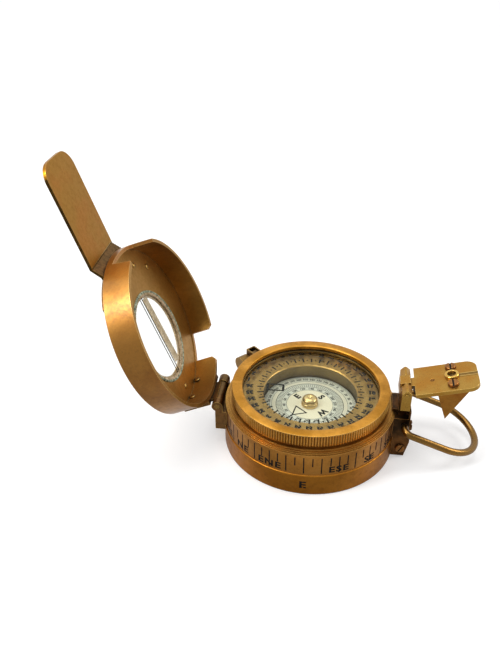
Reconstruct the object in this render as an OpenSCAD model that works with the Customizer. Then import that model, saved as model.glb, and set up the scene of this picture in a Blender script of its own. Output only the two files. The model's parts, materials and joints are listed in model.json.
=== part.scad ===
// Prismatic marching compass in brass, standing open on its base.
// Origin: centre of the base's underside. +Z is up and +X runs from the lid's hinge to the prism.
// Lengths are in millimetres and angles in degrees. The lid's pieces are written as they lie when
// the lid is shut, and the prism's pieces along its plate; each is then turned to its place.

/* [Pose] */
// How far the lid stands open
lid_open = 114; // [100:1:130]
// How far the prism's plate tips up from level
prism_tilt = 15.2; // [5:0.1:18]
// How far the thumb ring droops from level
ring_droop = 20.6; // [10:0.1:23]
// Bearing of the card's magnets, from +X
card_heading = 228; // [0:1:359]

/* [Base and barrel] */
// Outer radius of the base cap
cap_r = 31; // [30:0.1:33]
// Height of the base cap
cap_h = 8.5; // [7:0.1:10]
// Thickness of the base cap's floor
cap_floor = 1.6; // [1:0.1:2.4]
// Thickness of the base cap's wall
cap_wall = 2.4; // [1.8:0.1:3]
// Radius of the boss that carries the bowl
boss_r = 8; // [5:0.5:12]
// Step from the base cap in to the scale band
band_inset = 0.4; // [0.3:0.05:0.7]
// Height of the scale band
band_h = 8.5; // [7.5:0.1:10]
// Wall of the barrel's spigot
spigot_wall = 0.9; // [0.6:0.1:1.3]
// How far each of the moulding's steps stands in from the one below
moulding_in = [0.35, 0.4, 0.85]; // [0.2:0.05:0.9]
// Height of each of the moulding's steps
moulding_up = [0.45, 0.4, 0.35]; // [0.3:0.05:0.5]
// Height of the barrel's shoulder above the band
shoulder_rise = 1.9; // [1.6:0.1:2.4]
// Step from the moulding in to the shoulder
shoulder_in = 1.4; // [1:0.1:1.6]
// Width of the shoulder that the bezel turns on
shoulder_w = 1.4; // [1:0.1:1.8]
// Thickness of the web that carries the dial
web_t = 1; // [0.7:0.1:1.4]
// Wall of the neck inside the bezel
neck_wall = 1.3; // [1.1:0.1:1.6]
// Height of the neck above the shoulder
neck_h = 1.3; // [1.2:0.05:1.5]
// Depth of the neck's groove for the snap ring
neck_groove_d = 0.6; // [0.5:0.05:0.7]
// Chamfer on turned edges
edge_chamfer = 0.25; // [0.1:0.05:0.4]

/* [Bezel] */
// Wall of the bezel ring round the neck
bezel_wall = 1.95; // [1.7:0.05:2.3]
// Height of the bezel's lip above the glass
bezel_lip_h = 1.3; // [0.8:0.1:1.8]
// Width of the lip over the edge of the glass
bezel_lip_w = 1.2; // [0.8:0.1:1.8]
// Chamfer on the bezel's top edge
bezel_chamfer = 0.4; // [0.2:0.1:0.7]
// Thickness of the bezel's glass
glass_t = 0.9; // [0.6:0.1:1.2]
// Thickness of the ring under the glass
retainer_t = 0.6; // [0.4:0.1:0.8]
// Width of the ring under the glass
retainer_w = 1.2; // [0.8:0.1:1.6]
// Width of the snap ring's section
snap_w = 1.05; // [0.9:0.05:1.1]
// Height of the snap ring's section
snap_t = 0.7; // [0.4:0.05:0.7]
// Gap in the snap ring
snap_gap = 3; // [2:0.5:6]

/* [Bowl and card] */
// Outer radius of the bowl
bowl_r = 18.3; // [18:0.1:20]
// Wall of the bowl
bowl_wall = 1; // [0.7:0.1:1.2]
// Thickness of the bowl's floor
bowl_floor = 1.2; // [0.8:0.1:1.6]
// Height of the bowl's underside
bowl_z = 7; // [6:0.1:8]
// How far the dial flange stands in over the bowl's mouth
flange_lap = 0.4; // [0.1:0.05:1]
// Thickness of the dial flange
flange_t = 0.8; // [0.5:0.1:1]
// Clearance of the card in the bowl
card_gap = 0.4; // [0.3:0.05:1]
// Thickness of the card
card_t = 0.3; // [0.2:0.05:0.6]
// Height of the card's upper face
card_z = 14.2; // [13.8:0.05:14.8]
// Radius of the pivot post
post_r = 0.9; // [0.6:0.05:1]
// Radius of the post's foot
post_foot_r = 2.2; // [1.6:0.1:3.5]
// Height of the post's foot
post_foot_h = 1; // [0.6:0.1:1.6]
// Height of the pivot's point above the card
pivot_rise = 0.8; // [0.6:0.05:1.2]
// Length of the pivot's cone
pivot_cone_h = 1.8; // [1.4:0.1:2.2]
// Radius of the jewel cup
jewel_r = 1.3; // [1.1:0.05:1.5]
// Height of the jewel cup
jewel_h = 2; // [1.6:0.1:2.2]
// Width of the jewel cup's rim
jewel_rim = 0.3; // [0.2:0.05:0.4]
// Radius of the card's brass cap at its widest
dome_r = 3.05; // [2.6:0.05:4]
// Height of the brass cap above the card
dome_h = 3.4; // [3:0.1:3.8]
// Height of the brass cap's upright side
dome_side_h = 2.1; // [1.6:0.1:2.6]
// Chamfer at the brass cap's foot
dome_foot_in = 0.15; // [0.05:0.05:0.3]
// Length of each magnet
magnet_len = 20; // [12:1:24]
// Width and height of each magnet
magnet_t = 1.6; // [1:0.1:2]
// Distance of each magnet from the card's centre line
magnet_off = 4; // [3:0.5:6]

/* [Hinge] */
// Radius of the lid's knuckle
knuckle_r = 1.6; // [1.4:0.05:1.8]
// Radius of the case leaf's two knuckles
case_knuckle_r = 2; // [1.6:0.05:2]
// Radius of the hinge pin
hinge_pin_r = 0.8; // [0.6:0.05:0.9]
// Half length of the hinge
hinge_half = 8.75; // [8:0.25:11]
// Near end of the lid's knuckle
lid_knuckle_near = -5.8; // [-6.5:0.1:-5]
// Far end of the lid's knuckle
lid_knuckle_far = 4.6; // [4:0.1:6.5]
// Height of the case leaf
case_leaf_h = 7.9; // [6:0.1:9]
// How far the case leaf stands out of the base cap
case_leaf_out = 2.5; // [2:0.1:2.7]
// Drop from the hinge's axis to the case leaf's top
case_leaf_drop = 2.15; // [1.9:0.05:2.6]
// Thickness of the lid's leaf outside the skirt
lid_leaf_t = 0.9; // [0.5:0.05:0.95]
// How much narrower the lid's leaf is on each side than the case leaf
lid_leaf_in = 0.25; // [0:0.05:0.5]
// Thickness of the lid's leaf on the lid's plate
lid_leaf_top_t = 0.8; // [0.5:0.1:1.2]
// Length of the lid's leaf over the plate
lid_leaf_over = 9.4; // [7:0.1:10]
// Radius of the rivets' shanks
rivet_r = 0.8; // [0.6:0.05:1]
// Radius of the rivets' heads
rivet_head_r = 1.1; // [1:0.05:1.6]
// Height of the rivets' heads
rivet_head_h = 0.5; // [0.3:0.05:0.8]
// Spread of the case leaf's two rivets
case_rivet_spread = 10; // [8:0.5:12]
// Rivets through the skirt: places across the lid
skirt_rivet_y = [-3.8, 6.2]; // [-6.5:0.1:6.5]
// Height of the skirt's rivets under the lid's outer face
skirt_rivet_drop = 2.4; // [2.2:0.1:4]
// Distance of the rivet on the plate from the lid's edge
plate_rivet_in = 5.4; // [4:0.1:7]
// Place of the rivet on the plate, across the lid
plate_rivet_y = -1.8; // [-4:0.1:4]

/* [Lid] */
// Wall of the lid's skirt
lid_wall = 1.2; // [0.8:0.1:1.3]
// Thickness of the lid's plate
lid_plate_t = 1.2; // [1:0.05:1.6]
// Room between the bezel and the lid's skirt
lid_room = 1.05; // [0.95:0.05:1.3]
// Room between the bezel and the lid's plate
lid_headroom = 3.6; // [3.4:0.1:5]
// Radius of the window as seen from outside
window_r = 14.6; // [12:0.1:15]
// Offset of the window's centre towards the hinge
window_off = 3.2; // [2:0.1:4]
// Width of the ledge that the lid's glass lies against
window_ledge = 1.1; // [0.6:0.1:1.5]
// Thickness of the lid's glass
lid_glass_t = 0.5; // [0.3:0.05:0.7]
// Inner step of the glass ring past the window's edge
glass_ring_in = 0.1; // [0:0.05:0.4]
// Width of the glass ring
glass_ring_w = 1.5; // [1.4:0.1:2]
// Thickness of the glass ring
glass_ring_t = 0.5; // [0.3:0.05:0.8]
// Width of the strip across the window
strip_w = 3.8; // [1:0.1:4]
// Length of the strip across the window
strip_len = 26.8; // [20:0.1:27]
// Thickness of the strip
strip_t = 0.2; // [0.1:0.05:0.3]
// Turn of the strip from the lid's centre line
strip_turn = 3; // [0:0.5:6]
// Place of the strip's middle along the lid, from the window's centre
strip_x = 0.3; // [-0.3:0.05:0.3]
// Place of the strip's middle across the lid
strip_y = 4.4; // [0:0.05:4.4]
// Near side of the notch below the tongue, at its top
notch_near_top = -6; // [-9:0.1:-4]
// Far side of the notch at its top
notch_far_top = 10.9; // [8:0.1:12]
// Near side of the notch at the skirt's edge
notch_near_edge = -8.1; // [-10:0.1:-5]
// Far side of the notch at the skirt's edge
notch_far_edge = 14.8; // [12:0.1:16]
// Drop from the lid's outer face to the notch's near top corner
notch_near_drop = 2.6; // [1.8:0.1:4]
// Drop from the lid's outer face to the notch's far top corner
notch_far_drop = 3.6; // [1.8:0.1:4]
// First side of the notch that clears the clamp, from +X
side_notch_from = 128; // [126:0.5:130]
// Last side of the notch that clears the clamp, from +X
side_notch_to = 150; // [146:0.5:152]

/* [Tongue] */
// Half width of the tongue
tongue_half = 10.5; // [8:0.5:11]
// Length of the tongue past its bend
tongue_len = 35.7; // [30:0.1:36]
// Thickness of the tongue
tongue_t = 1.1; // [0.8:0.1:1.2]
// Rise of the tongue over its bend
tongue_rise = 2.2; // [1.8:0.1:2.8]
// Length of the bend
tongue_bend = 3.2; // [2.6:0.1:4]
// Slope of the tongue down towards its end
tongue_slope = 4.6; // [0:0.1:4.6]
// Larger corner at the tongue's end
tongue_big_r = 6.5; // [3:0.5:9]
// Smaller corner at the tongue's end
tongue_small_r = 5.5; // [1:0.5:7]
// Half width of the tongue's root
root_half = 20; // [18:0.5:22]
// Where the root starts, from the lid's centre
root_from = 14; // [13:0.5:15]
// Step of the bend in from the lid's edge
tongue_root_step = 2; // [1.6:0.1:2.6]
// Step of the root in from the lid's edge
root_inset = 1.2; // [0.8:0.1:2]
// Clear width between the window and the root
root_clear = 2.4; // [1.5:0.1:3]
// How far the tongue's bend laps its root
tongue_lap = 2; // [1:0.1:3]
// Inner rivets of the tongue, along the lid
tongue_rivet_x = 21.5; // [20.5:0.1:22]
// Inner rivets of the tongue, across the lid
tongue_rivet_y = 9.4; // [8:0.1:11]
// Outer rivets of the tongue, along the lid
root_rivet_x = 16.6; // [15.6:0.1:17.4]
// Outer rivets of the tongue, across the lid
root_rivet_y = 17.85; // [16.5:0.05:18.5]

/* [Prism bracket] */
// Half width of the bracket
bracket_half = 7.45; // [6.8:0.05:7.6]
// How far the slide's middle lies out of the base cap
slide_out = 2.15; // [2.15:0.05:2.6]
// Height of the bracket's underside above the ground
bracket_z = 0.3; // [0.2:0.1:1]
// Wall in front of the slide
front_wall = 0.5; // [0.4:0.05:0.8]
// Height of the front wall over the block
front_wall_h = 3.4; // [2:0.1:3.5]
// Swell of the block's front below the ring
block_swell = 0.7; // [0:0.05:1]
// Half width of the wall behind the slide
back_half = 4.5; // [3.5:0.1:5]
// Thickness of the wall behind the slide
back_wall = 2.15; // [1.2:0.05:2.2]
// Height of the wall behind the slide over the block
back_wall_h = 1.9; // [1:0.1:6.4]
// Radius of the side screws' heads
side_screw_r = 1.65; // [1.3:0.05:1.9]
// Height of the side screws
side_screw_z = 3.9; // [3.4:0.1:4.2]
// Height of the side screws' heads
side_screw_h = 1; // [0.6:0.1:1.4]
// Turn of the side screws' slots
side_slot_turn = 62; // [0:1:179]
// Metal between the side screws and the stem's slot
side_screw_cover = 1; // [0.6:0.1:1.4]
// Radius of the screws' shanks in the bracket
screw_r = 0.8; // [0.6:0.05:0.9]
// Radius of the heads inside the barrel
inner_head_r = 1.5; // [1.2:0.1:1.6]
// Height of the heads inside the barrel
inner_head_h = 0.8; // [0.5:0.1:1.2]
// Spread of the screws inside the barrel
inner_screw_spread = 8; // [7.4:0.1:8.4]
// Height of the screws inside the barrel
inner_screw_z = 11.8; // [11:0.1:12]
// Metal between the screws inside the barrel and the bracket's front
inner_screw_cover = 1.4; // [1:0.1:2]
// Height of the stop screw
stop_z = 8.5; // [8.2:0.1:9]
// Radius of the stop screw's head
stop_head_r = 1.9; // [1.4:0.1:2.2]
// Height of the stop screw's head
stop_head_h = 1.2; // [0.8:0.1:1.5]
// Turn of the stop screw's slot
stop_slot_turn = 35; // [0:1:179]
// Width of the screws' slots
slot_w = 0.6; // [0.4:0.05:0.8]
// Depth of the screws' slots
slot_d = 0.5; // [0.3:0.05:0.6]

/* [Slide] */
// Travel of the slide
slide_travel = 3.2; // [2.5:0.1:3.2]
// Thickness of the slide's body
slide_t = 3.4; // [3:0.1:3.6]
// Height of the slide's body from its foot to the pin
slide_h = 6.5; // [6:0.1:7]
// Half width of the stem
stem_half = 2.4; // [2:0.1:2.6]
// Thickness of the stem
stem_t = 2.4; // [2:0.1:2.6]
// Length of the stem
stem_len = 14; // [13:0.1:14.4]
// Depth of the stem's groove for the stop screw
groove_d = 0.6; // [0.4:0.05:0.8]
// Half width of the gap between the slide's ears
ear_gap_half = 2.45; // [2:0.05:3]
// Height of the slide's middle over its foot
slide_mid_h = 3.7; // [3:0.1:3.7]
// Height of the ears' ridge over the pin
ear_top = 1.9; // [1.4:0.1:2.2]
// Half width of the ears' ridge
ear_ridge_half = 0.35; // [0.2:0.05:0.6]
// Height of the ears' front edge over the pin
ear_front = 0.8; // [0:0.1:1.2]
// Height of the ears' back edge over the pin
ear_back = 0.4; // [0:0.1:1.2]
// Radius of the prism's hinge pin
prism_pin_r = 0.7; // [0.5:0.05:0.9]
// How far the prism's pin stands out of each ear
prism_pin_out = 0.3; // [0.1:0.05:0.6]

/* [Prism] */
// Half width of the prism's plate
plate_half = 7.9; // [7.6:0.05:8.6]
// Thickness of the prism's plate
plate_t = 1.5; // [1:0.05:1.6]
// Height of the plate's upper face over the pin
plate_up = 0.28; // [0.1:0.02:0.5]
// Start of the plate, out from the pin
plate_from = 2.9; // [2.7:0.05:3.4]
// End of the plate, out from the pin
plate_to = 24.4; // [23.4:0.1:25]
// Corners at the plate's end
plate_corner_r = 3.6; // [1:0.1:4]
// Half side of the square knuckle
knuckle_half = 1.75; // [1.5:0.05:1.75]
// Radius of the ball that the plate's dimple fits
dimple_r = 1; // [0.6:0.1:1.4]
// Depth of the dimple
dimple_d = 0.4; // [0.2:0.05:0.5]
// Place of the dimple, out from the pin
dimple_u = 9; // [6:0.1:10]
// Place of the dimple, across the plate
dimple_y = -0.5; // [-3:0.1:3]
// Half width of the prism's housing
housing_half = 7.5; // [6.5:0.1:7.6]
// Hinge side of the housing at the plate, out from the pin
housing_from = 10.1; // [9.8:0.1:10.6]
// Far side of the housing at the plate, out from the pin
housing_to = 20.6; // [20.2:0.1:21.5]
// Depth of the housing's point under the plate
housing_depth = 10.5; // [9.6:0.1:10.8]
// Place of the housing's point, out from its hinge side
housing_point = 0.9; // [0.5:0.1:1.6]
// Thickness of the housing's walls
housing_wall = 0.8; // [0.5:0.05:1]
// Thickness of the housing's top
housing_top = 1.2; // [0.8:0.05:1.5]
// Radius of the window that looks at the card
sight_r = 2.2; // [1.6:0.1:2.4]
// Depth of that window's centre under the plate
sight_depth = 4.9; // [4.6:0.1:5.2]
// Place of the eyepiece, out from the pin
eye_u = 15.7; // [15:0.1:16.4]
// Place of the eyepiece, across the plate
eye_y = 0.4; // [-0.6:0.1:0.6]
// Outer radius of the eyepiece's ring
eye_r = 2.45; // [2.2:0.05:2.6]
// Height of the eyepiece's ring over the plate
eye_h = 1.1; // [0.7:0.05:1.2]
// Radius of the eyepiece's spigot in the plate
eye_spigot_r = 1.9; // [1.8:0.05:2]
// Radius of the eyepiece's lens
lens_r = 1.45; // [1.2:0.05:1.5]
// Thickness of the eyepiece's lens
lens_t = 0.8; // [0.5:0.05:0.9]
// Ledge under the lens
lens_ledge = 0.3; // [0.2:0.05:0.4]
// Height of that ledge over the plate's underside
lens_ledge_h = 0.9; // [0.6:0.05:1]
// Distance of each prism screw from the eyepiece
prism_screw_off = 4.85; // [4.6:0.05:5]
// Radius of the prism screws' heads
prism_head_r = 1.85; // [1.5:0.05:2]
// Height of the prism screws' heads
prism_head_h = 1.1; // [0.7:0.05:1.2]
// Radius of the prism screws' shanks
prism_screw_r = 0.75; // [0.5:0.05:0.9]
// Turn of the prism screws' slots
prism_slot_turn = 90; // [0:1:179]

/* [Thumb ring] */
// Radius of the ring's wire
wire_r = 1.25; // [1:0.05:1.4]
// Radius of the ring's bow, to the middle of the wire
bow_r = 12.95; // [12.5:0.05:13.5]
// Length of the ring's straight legs, from the pivot to the bow
leg_len = 15.4; // [15:0.1:17]
// Radius of the bends between legs and pins
bend_r = 2.6; // [2:0.1:3]
// Shift of the ring's middle to the far side
ring_shift = 1.2; // [0:0.1:1.4]
// Radius of the ring's pins
ring_pin_r = 0.9; // [0.6:0.05:1]
// Length of the ring's pins inside the bracket
ring_pin_in = 1.8; // [1.2:0.1:2]
// Height of the ring's pivot
ring_z = 14; // [13.9:0.1:14.4]
// How far the ring's pivot lies outside the slide's middle
ring_out = 0.65; // [0.4:0.05:0.7]

/* [Clamp] */
// Bearing of the clamp, from +X
clamp_bearing = 136; // [134:0.5:142]
// How far the clamp's post stands out of the base cap
clamp_out = 3.9; // [3.7:0.1:4.4]
// Width of the clamp's post
clamp_w = 3.9; // [3.4:0.1:4.4]
// Wall of the clamp's post
clamp_wall = 0.5; // [0.4:0.05:0.6]
// Height of the post's foot above the base cap
clamp_foot = 0.3; // [0.2:0.1:2]
// Height of the post
clamp_h = 12; // [11:0.1:12.4]
// Height of the shoe's finger
finger_h = 1.8; // [1.2:0.1:2]
// Thickness of the shoe inside the post
shoe_t = 1.5; // [1:0.1:1.6]
// Radius of the clamp screw's shaft
clamp_shaft_r = 0.5; // [0.4:0.05:0.55]
// How far the screw's axis lies out of the base cap
clamp_axis_out = 2.8; // [2.75:0.01:2.85]
// Height of the screw's axis
clamp_axis_z = 15.8; // [13:0.1:16.2]
// Radius of the clamp's knob
knob_r = 3; // [2.2:0.05:3.05]
// Thickness of the clamp's knob
knob_t = 4; // [1.6:0.1:4.4]
// Radius of the riveted end of the screw
shaft_end_r = 0.9; // [0.8:0.05:1.2]
// Thickness of the riveted end of the screw
shaft_end_t = 0.5; // [0.3:0.1:0.8]

/* [Clearances] */
// Radial clearance of pieces that turn or slide in each other
running_gap = 0.05; // [0.03:0.01:0.08]
// Clearance of loose fits
loose_gap = 0.1; // [0.08:0.01:0.15]
// Clearance of seats on curved surfaces
seat_gap = 0.03; // [0.02:0.01:0.06]

/* [Hidden] */
$fn = 96;
over = 1;

// Sum of a list's entries up to one of them
function total(sizes, last) = sizes[last] + (last > 0 ? total(sizes, last - 1) : 0);

// Levels and radii of the case
band_r = cap_r - band_inset;
moulding_inset = [for (i = [0:2]) total(moulding_in, i)];
moulding_rise = [for (i = [0:2]) total(moulding_up, i)];
cap_bore_r = cap_r - cap_wall;
spigot_r = cap_bore_r - loose_gap;
barrel_bore_r = spigot_r - spigot_wall;
band_z = cap_h + band_h;
shoulder_z = band_z + shoulder_rise;
shoulder_r = band_r - moulding_inset[2] - shoulder_in;
neck_r = shoulder_r - shoulder_w;
neck_in_r = neck_r - neck_wall;
neck_z = shoulder_z + neck_h;
snap_z = shoulder_z + (neck_h - snap_t) / 2 + loose_gap / 2;
neck_groove_r = neck_r - neck_groove_d;
snap_in_r = neck_groove_r + running_gap;
snap_out_r = snap_in_r + snap_w;

// Levels and radii of the bezel
bezel_bore_r = neck_r + loose_gap;
bezel_r = bezel_bore_r + bezel_wall;
retainer_z = neck_z + 3 * loose_gap;
glass_z = retainer_z + retainer_t;
lip_z = glass_z + glass_t;
bezel_z = lip_z + bezel_lip_h;
glass_seat_r = neck_r - 5 * loose_gap;
lip_r = glass_seat_r - bezel_lip_w;

// Levels of the card and its pivot
bowl_in_r = bowl_r - bowl_wall;
card_r = bowl_in_r - card_gap;
flange_in_r = bowl_in_r - flange_lap;
pivot_z = card_z + pivot_rise;
pivot_tip_r = 0.1;
jewel_z = card_z + loose_gap;
jewel_recess_r = jewel_r - jewel_rim;
cap_bore_top = jewel_z + jewel_h + running_gap;
dome_spring_z = card_z + dome_side_h;

// The lid, shut
lid_in_r = bezel_r + lid_room;
lid_r = lid_in_r + lid_wall;
plate_z = bezel_z + lid_headroom;
lid_z = plate_z + lid_plate_t;
skirt_z = band_z + moulding_rise[1] + 3 * loose_gap;
window_seat_r = window_r + window_ledge;
window_x = -window_off;
bend_x = lid_r - tongue_root_step;
tongue_rivets = [[tongue_rivet_x, tongue_rivet_y], [root_rivet_x, root_rivet_y]];

// The hinge
hinge_x = -(cap_r + knuckle_r + 1.5 * loose_gap);
hinge_z = skirt_z - knuckle_r - loose_gap;
case_leaf_x = -(cap_r + case_leaf_out);
case_leaf_z = hinge_z - case_leaf_drop;
lid_leaf_x = -(lid_r + lid_leaf_t);
lid_leaf_half = hinge_half - lid_leaf_in;
lid_leaf_z = skirt_z + 3.5 * loose_gap;
case_rivet_z = cap_h + rivet_r + 5 * loose_gap;

// The bracket and the slide in its raised place
slide_x = cap_r + slide_out;
slide_front = slide_x + slide_t / 2;
slide_back = slide_x - slide_t / 2;
block_front = slide_front + loose_gap + front_wall;
slide_z = band_z + slide_travel + 4 * loose_gap;
prism_pin_z = slide_z + slide_h;
stem_z = slide_z - stem_len;
stem_front = slide_x + stem_t / 2;
stop_tip_r = screw_r - running_gap;
ring_x = slide_x + ring_out;

// The prism, measured out from its pin and up from the plate
plate_top = plate_up;
plate_under = plate_up - plate_t;
eye_top = plate_top + eye_h;
lens_z = plate_under + lens_ledge_h;

// The clamp, measured out from the case's axis
clamp_far = cap_r + clamp_out;
clamp_z = cap_h + clamp_foot;
clamp_top = clamp_z + clamp_h;
clamp_in = band_r + seat_gap + clamp_wall + 2 * loose_gap;
clamp_axis = cap_r + clamp_axis_out;
finger_z = skirt_z + 2.5 * loose_gap;

// A solid of revolution about Z
module turned(points) {
    rotate_extrude() polygon(points);
}

// A ring about Z
module ring(r_out, r_in, z_from, z_to) {
    turned([[r_in, z_from], [r_out, z_from], [r_out, z_to], [r_in, z_to]]);
}

// A rod along X, Y or Z, from one place to another
module rod_x(r, x_from, x_to, y, z) {
    translate([x_from, y, z]) rotate([0, 90, 0]) cylinder(h = x_to - x_from, r = r);
}

module rod_y(r, y_from, y_to, x, z) {
    translate([x, y_from, z]) rotate([-90, 0, 0]) cylinder(h = y_to - y_from, r = r);
}

module rod_z(r, z_from, z_to, x, y) {
    translate([x, y, z_from]) cylinder(h = z_to - z_from, r = r);
}

// A block between two corners
module block(from, to) {
    translate(from) cube(to - from);
}

// A profile in X and Z, drawn out along Y
module across(y_from, y_to, points) {
    translate([0, y_to, 0]) rotate([90, 0, 0]) linear_extrude(y_to - y_from) polygon(points);
}

// A rivet along Z: a shank up from the head's seat and a domed head below it
module rivet(shank_len) {
    turned(concat(
        [[0, shank_len], [0, -rivet_head_h]],
        [for (a = [75:-15:0]) [rivet_head_r * cos(a), -rivet_head_h * sin(a)]],
        [[rivet_r, 0], [rivet_r, shank_len]]));
}

// A slotted screw along Z: the head's top at the given height, the shank down from its seat
module screw(head_r, head_h, shank_r, shank_len, slot_turn) {
    difference() {
        union() {
            turned([
                [0, 0], [head_r, 0], [head_r, head_h - edge_chamfer],
                [head_r - edge_chamfer, head_h], [0, head_h]]);
            translate([0, 0, -shank_len]) cylinder(h = shank_len + head_h / 2, r = shank_r);
        }
        rotate([0, 0, slot_turn])
            translate([-head_r - over, -slot_w / 2, head_h - slot_d])
                cube([2 * head_r + 2 * over, slot_w, slot_d + over]);
    }
}

// The case as seen from outside, grown by a gap, to cut what is fixed to it
module case_outside(gap) {
    rod_z(cap_r + gap, -over, cap_h, 0, 0);
    rod_z(band_r + gap, cap_h - over, band_z, 0, 0);
    for (i = [0:2])
        rod_z(band_r - moulding_inset[i] + gap, band_z - over, band_z + moulding_rise[i], 0, 0);
}

// Turns the shut lid to its open place
module on_lid() {
    translate([hinge_x, 0, hinge_z]) rotate([0, -lid_open, 0]) translate([-hinge_x, 0, -hinge_z]) children();
}

// Carries what is drawn along the prism's plate to the slide's pin
module on_prism() {
    translate([slide_x, 0, prism_pin_z]) rotate([0, -prism_tilt, 0]) children();
}

// Carries what is drawn outwards from the clamp's bearing
module on_clamp() {
    rotate([0, 0, clamp_bearing]) children();
}

module base_cap() {
    color("#a66c2c") turned([
        [0, 0], [cap_r - edge_chamfer, 0], [cap_r, edge_chamfer],
        [cap_r, cap_h - edge_chamfer], [cap_r - edge_chamfer, cap_h],
        [cap_bore_r, cap_h], [cap_bore_r, cap_floor], [boss_r, cap_floor], [boss_r, bowl_z], [0, bowl_z]]);
}

module case_barrel() {
    color("#a9702f") difference() {
        turned([
            [barrel_bore_r, cap_floor], [spigot_r, cap_floor], [spigot_r, cap_h], [band_r, cap_h],
            [band_r, band_z],
            [band_r - moulding_inset[0], band_z],
            [band_r - moulding_inset[0], band_z + moulding_rise[0]],
            [band_r - moulding_inset[1], band_z + moulding_rise[0]],
            [band_r - moulding_inset[1], band_z + moulding_rise[1]],
            [band_r - moulding_inset[2], band_z + moulding_rise[1]],
            [band_r - moulding_inset[2], band_z + moulding_rise[2]],
            [shoulder_r, band_z + moulding_rise[2]], [shoulder_r, shoulder_z], [neck_r, shoulder_z],
            [neck_r, snap_z - loose_gap], [neck_groove_r, snap_z - loose_gap],
            [neck_groove_r, snap_z + snap_t + loose_gap], [neck_r, snap_z + snap_t + loose_gap],
            [neck_r, neck_z], [neck_in_r, neck_z], [neck_in_r, shoulder_z],
            [bowl_r + running_gap, shoulder_z], [bowl_r + running_gap, shoulder_z - web_t],
            [barrel_bore_r, shoulder_z - web_t]]);
        for (side = [-1, 1]) {
            rod_x(rivet_r + seat_gap, -cap_r - over, 0, side * case_rivet_spread / 2, case_rivet_z);
            rod_x(screw_r + loose_gap, 0, cap_r + over, side * inner_screw_spread / 2, inner_screw_z);
            rod_x(inner_head_r + loose_gap, 0, inner_head_x(), side * inner_screw_spread / 2, inner_screw_z);
        }
    }
}

module compass_bowl() {
    color("#6f5a3c") turned([
        [0, bowl_z], [bowl_r, bowl_z], [bowl_r, shoulder_z], [bowl_in_r, shoulder_z],
        [bowl_in_r, bowl_z + bowl_floor], [0, bowl_z + bowl_floor]]);
}

module dial_flange() {
    color("#8f7a58") ring(neck_in_r - loose_gap, flange_in_r, shoulder_z, shoulder_z + flange_t);
}

module pivot_post() {
    foot_z = bowl_z + bowl_floor;
    color("#b8b4aa") turned([
        [0, foot_z], [post_foot_r, foot_z], [post_foot_r, foot_z + post_foot_h],
        [post_r, foot_z + post_foot_h], [post_r, pivot_z - pivot_cone_h],
        [pivot_tip_r, pivot_z], [0, pivot_z]]);
}

module bezel_snap_ring() {
    color("#7c6238") difference() {
        ring(snap_out_r, snap_in_r, snap_z, snap_z + snap_t);
        block([0, -snap_gap / 2, snap_z - over], [snap_out_r + over, snap_gap / 2, snap_z + snap_t + over]);
    }
}

module bezel_ring() {
    color("#b98336") turned([
        [bezel_bore_r, shoulder_z], [bezel_r, shoulder_z], [bezel_r, bezel_z - bezel_chamfer],
        [bezel_r - bezel_chamfer, bezel_z], [lip_r + edge_chamfer, bezel_z], [lip_r, bezel_z - edge_chamfer],
        [lip_r, lip_z], [glass_seat_r, lip_z], [glass_seat_r, retainer_z], [bezel_bore_r, retainer_z],
        [bezel_bore_r, snap_z + snap_t + loose_gap], [snap_out_r + loose_gap, snap_z + snap_t + loose_gap],
        [snap_out_r + loose_gap, snap_z - loose_gap], [bezel_bore_r, snap_z - loose_gap]]);
}

module bezel_glass() {
    color("#dfe8e4", 0.35) rod_z(glass_seat_r - loose_gap, glass_z, lip_z, 0, 0);
}

module glass_retainer() {
    color("#5a4428") ring(
        glass_seat_r - running_gap, glass_seat_r - retainer_w, retainer_z, glass_z);
}

module card_disc() {
    color("#ece6d4") ring(card_r, jewel_r + loose_gap, card_z - card_t, card_z);
}

module card_cap() {
    color("#c79a45") turned(concat(
        [[jewel_r + running_gap, card_z], [dome_r - dome_foot_in, card_z], [dome_r, card_z + dome_foot_in]],
        [for (a = [0:15:90]) [dome_r * cos(a), dome_spring_z + (card_z + dome_h - dome_spring_z) * sin(a)]],
        [[0, cap_bore_top], [jewel_r + running_gap, cap_bore_top]]));
}

module jewel_cup() {
    color("#9a2f3c") turned([
        [jewel_recess_r, jewel_z], [jewel_r, jewel_z], [jewel_r, jewel_z + jewel_h], [0, jewel_z + jewel_h],
        [0, pivot_z + running_gap], [2 * pivot_tip_r, pivot_z + running_gap]]);
}

module card_magnets() {
    color("#50545a") rotate([0, 0, card_heading]) for (side = [-1, 1])
        translate([-magnet_len / 2, side * magnet_off - magnet_t / 2, card_z - card_t - magnet_t])
            cube([magnet_len, magnet_t, magnet_t]);
}

// Knuckles of the case leaf, with the webs that join them to it
module case_knuckle(y_from, y_to) {
    rod_y(case_knuckle_r, y_from, y_to, hinge_x, hinge_z);
    block([case_leaf_x, y_from, case_leaf_z - over], [hinge_x + case_knuckle_r, y_to, hinge_z]);
}

module case_hinge_leaf() {
    color("#5f4526") difference() {
        union() {
            block([case_leaf_x, -hinge_half, case_leaf_z - case_leaf_h], [0, hinge_half, case_leaf_z]);
            case_knuckle(-hinge_half, lid_knuckle_near - loose_gap);
            case_knuckle(lid_knuckle_far + loose_gap, hinge_half);
        }
        case_outside(seat_gap);
        rod_y(hinge_pin_r + seat_gap, -hinge_half - over, hinge_half + over, hinge_x, hinge_z);
        for (side = [-1, 1])
            rod_x(rivet_r + seat_gap, case_leaf_x - over, 0, side * case_rivet_spread / 2, case_rivet_z);
    }
}

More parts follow.
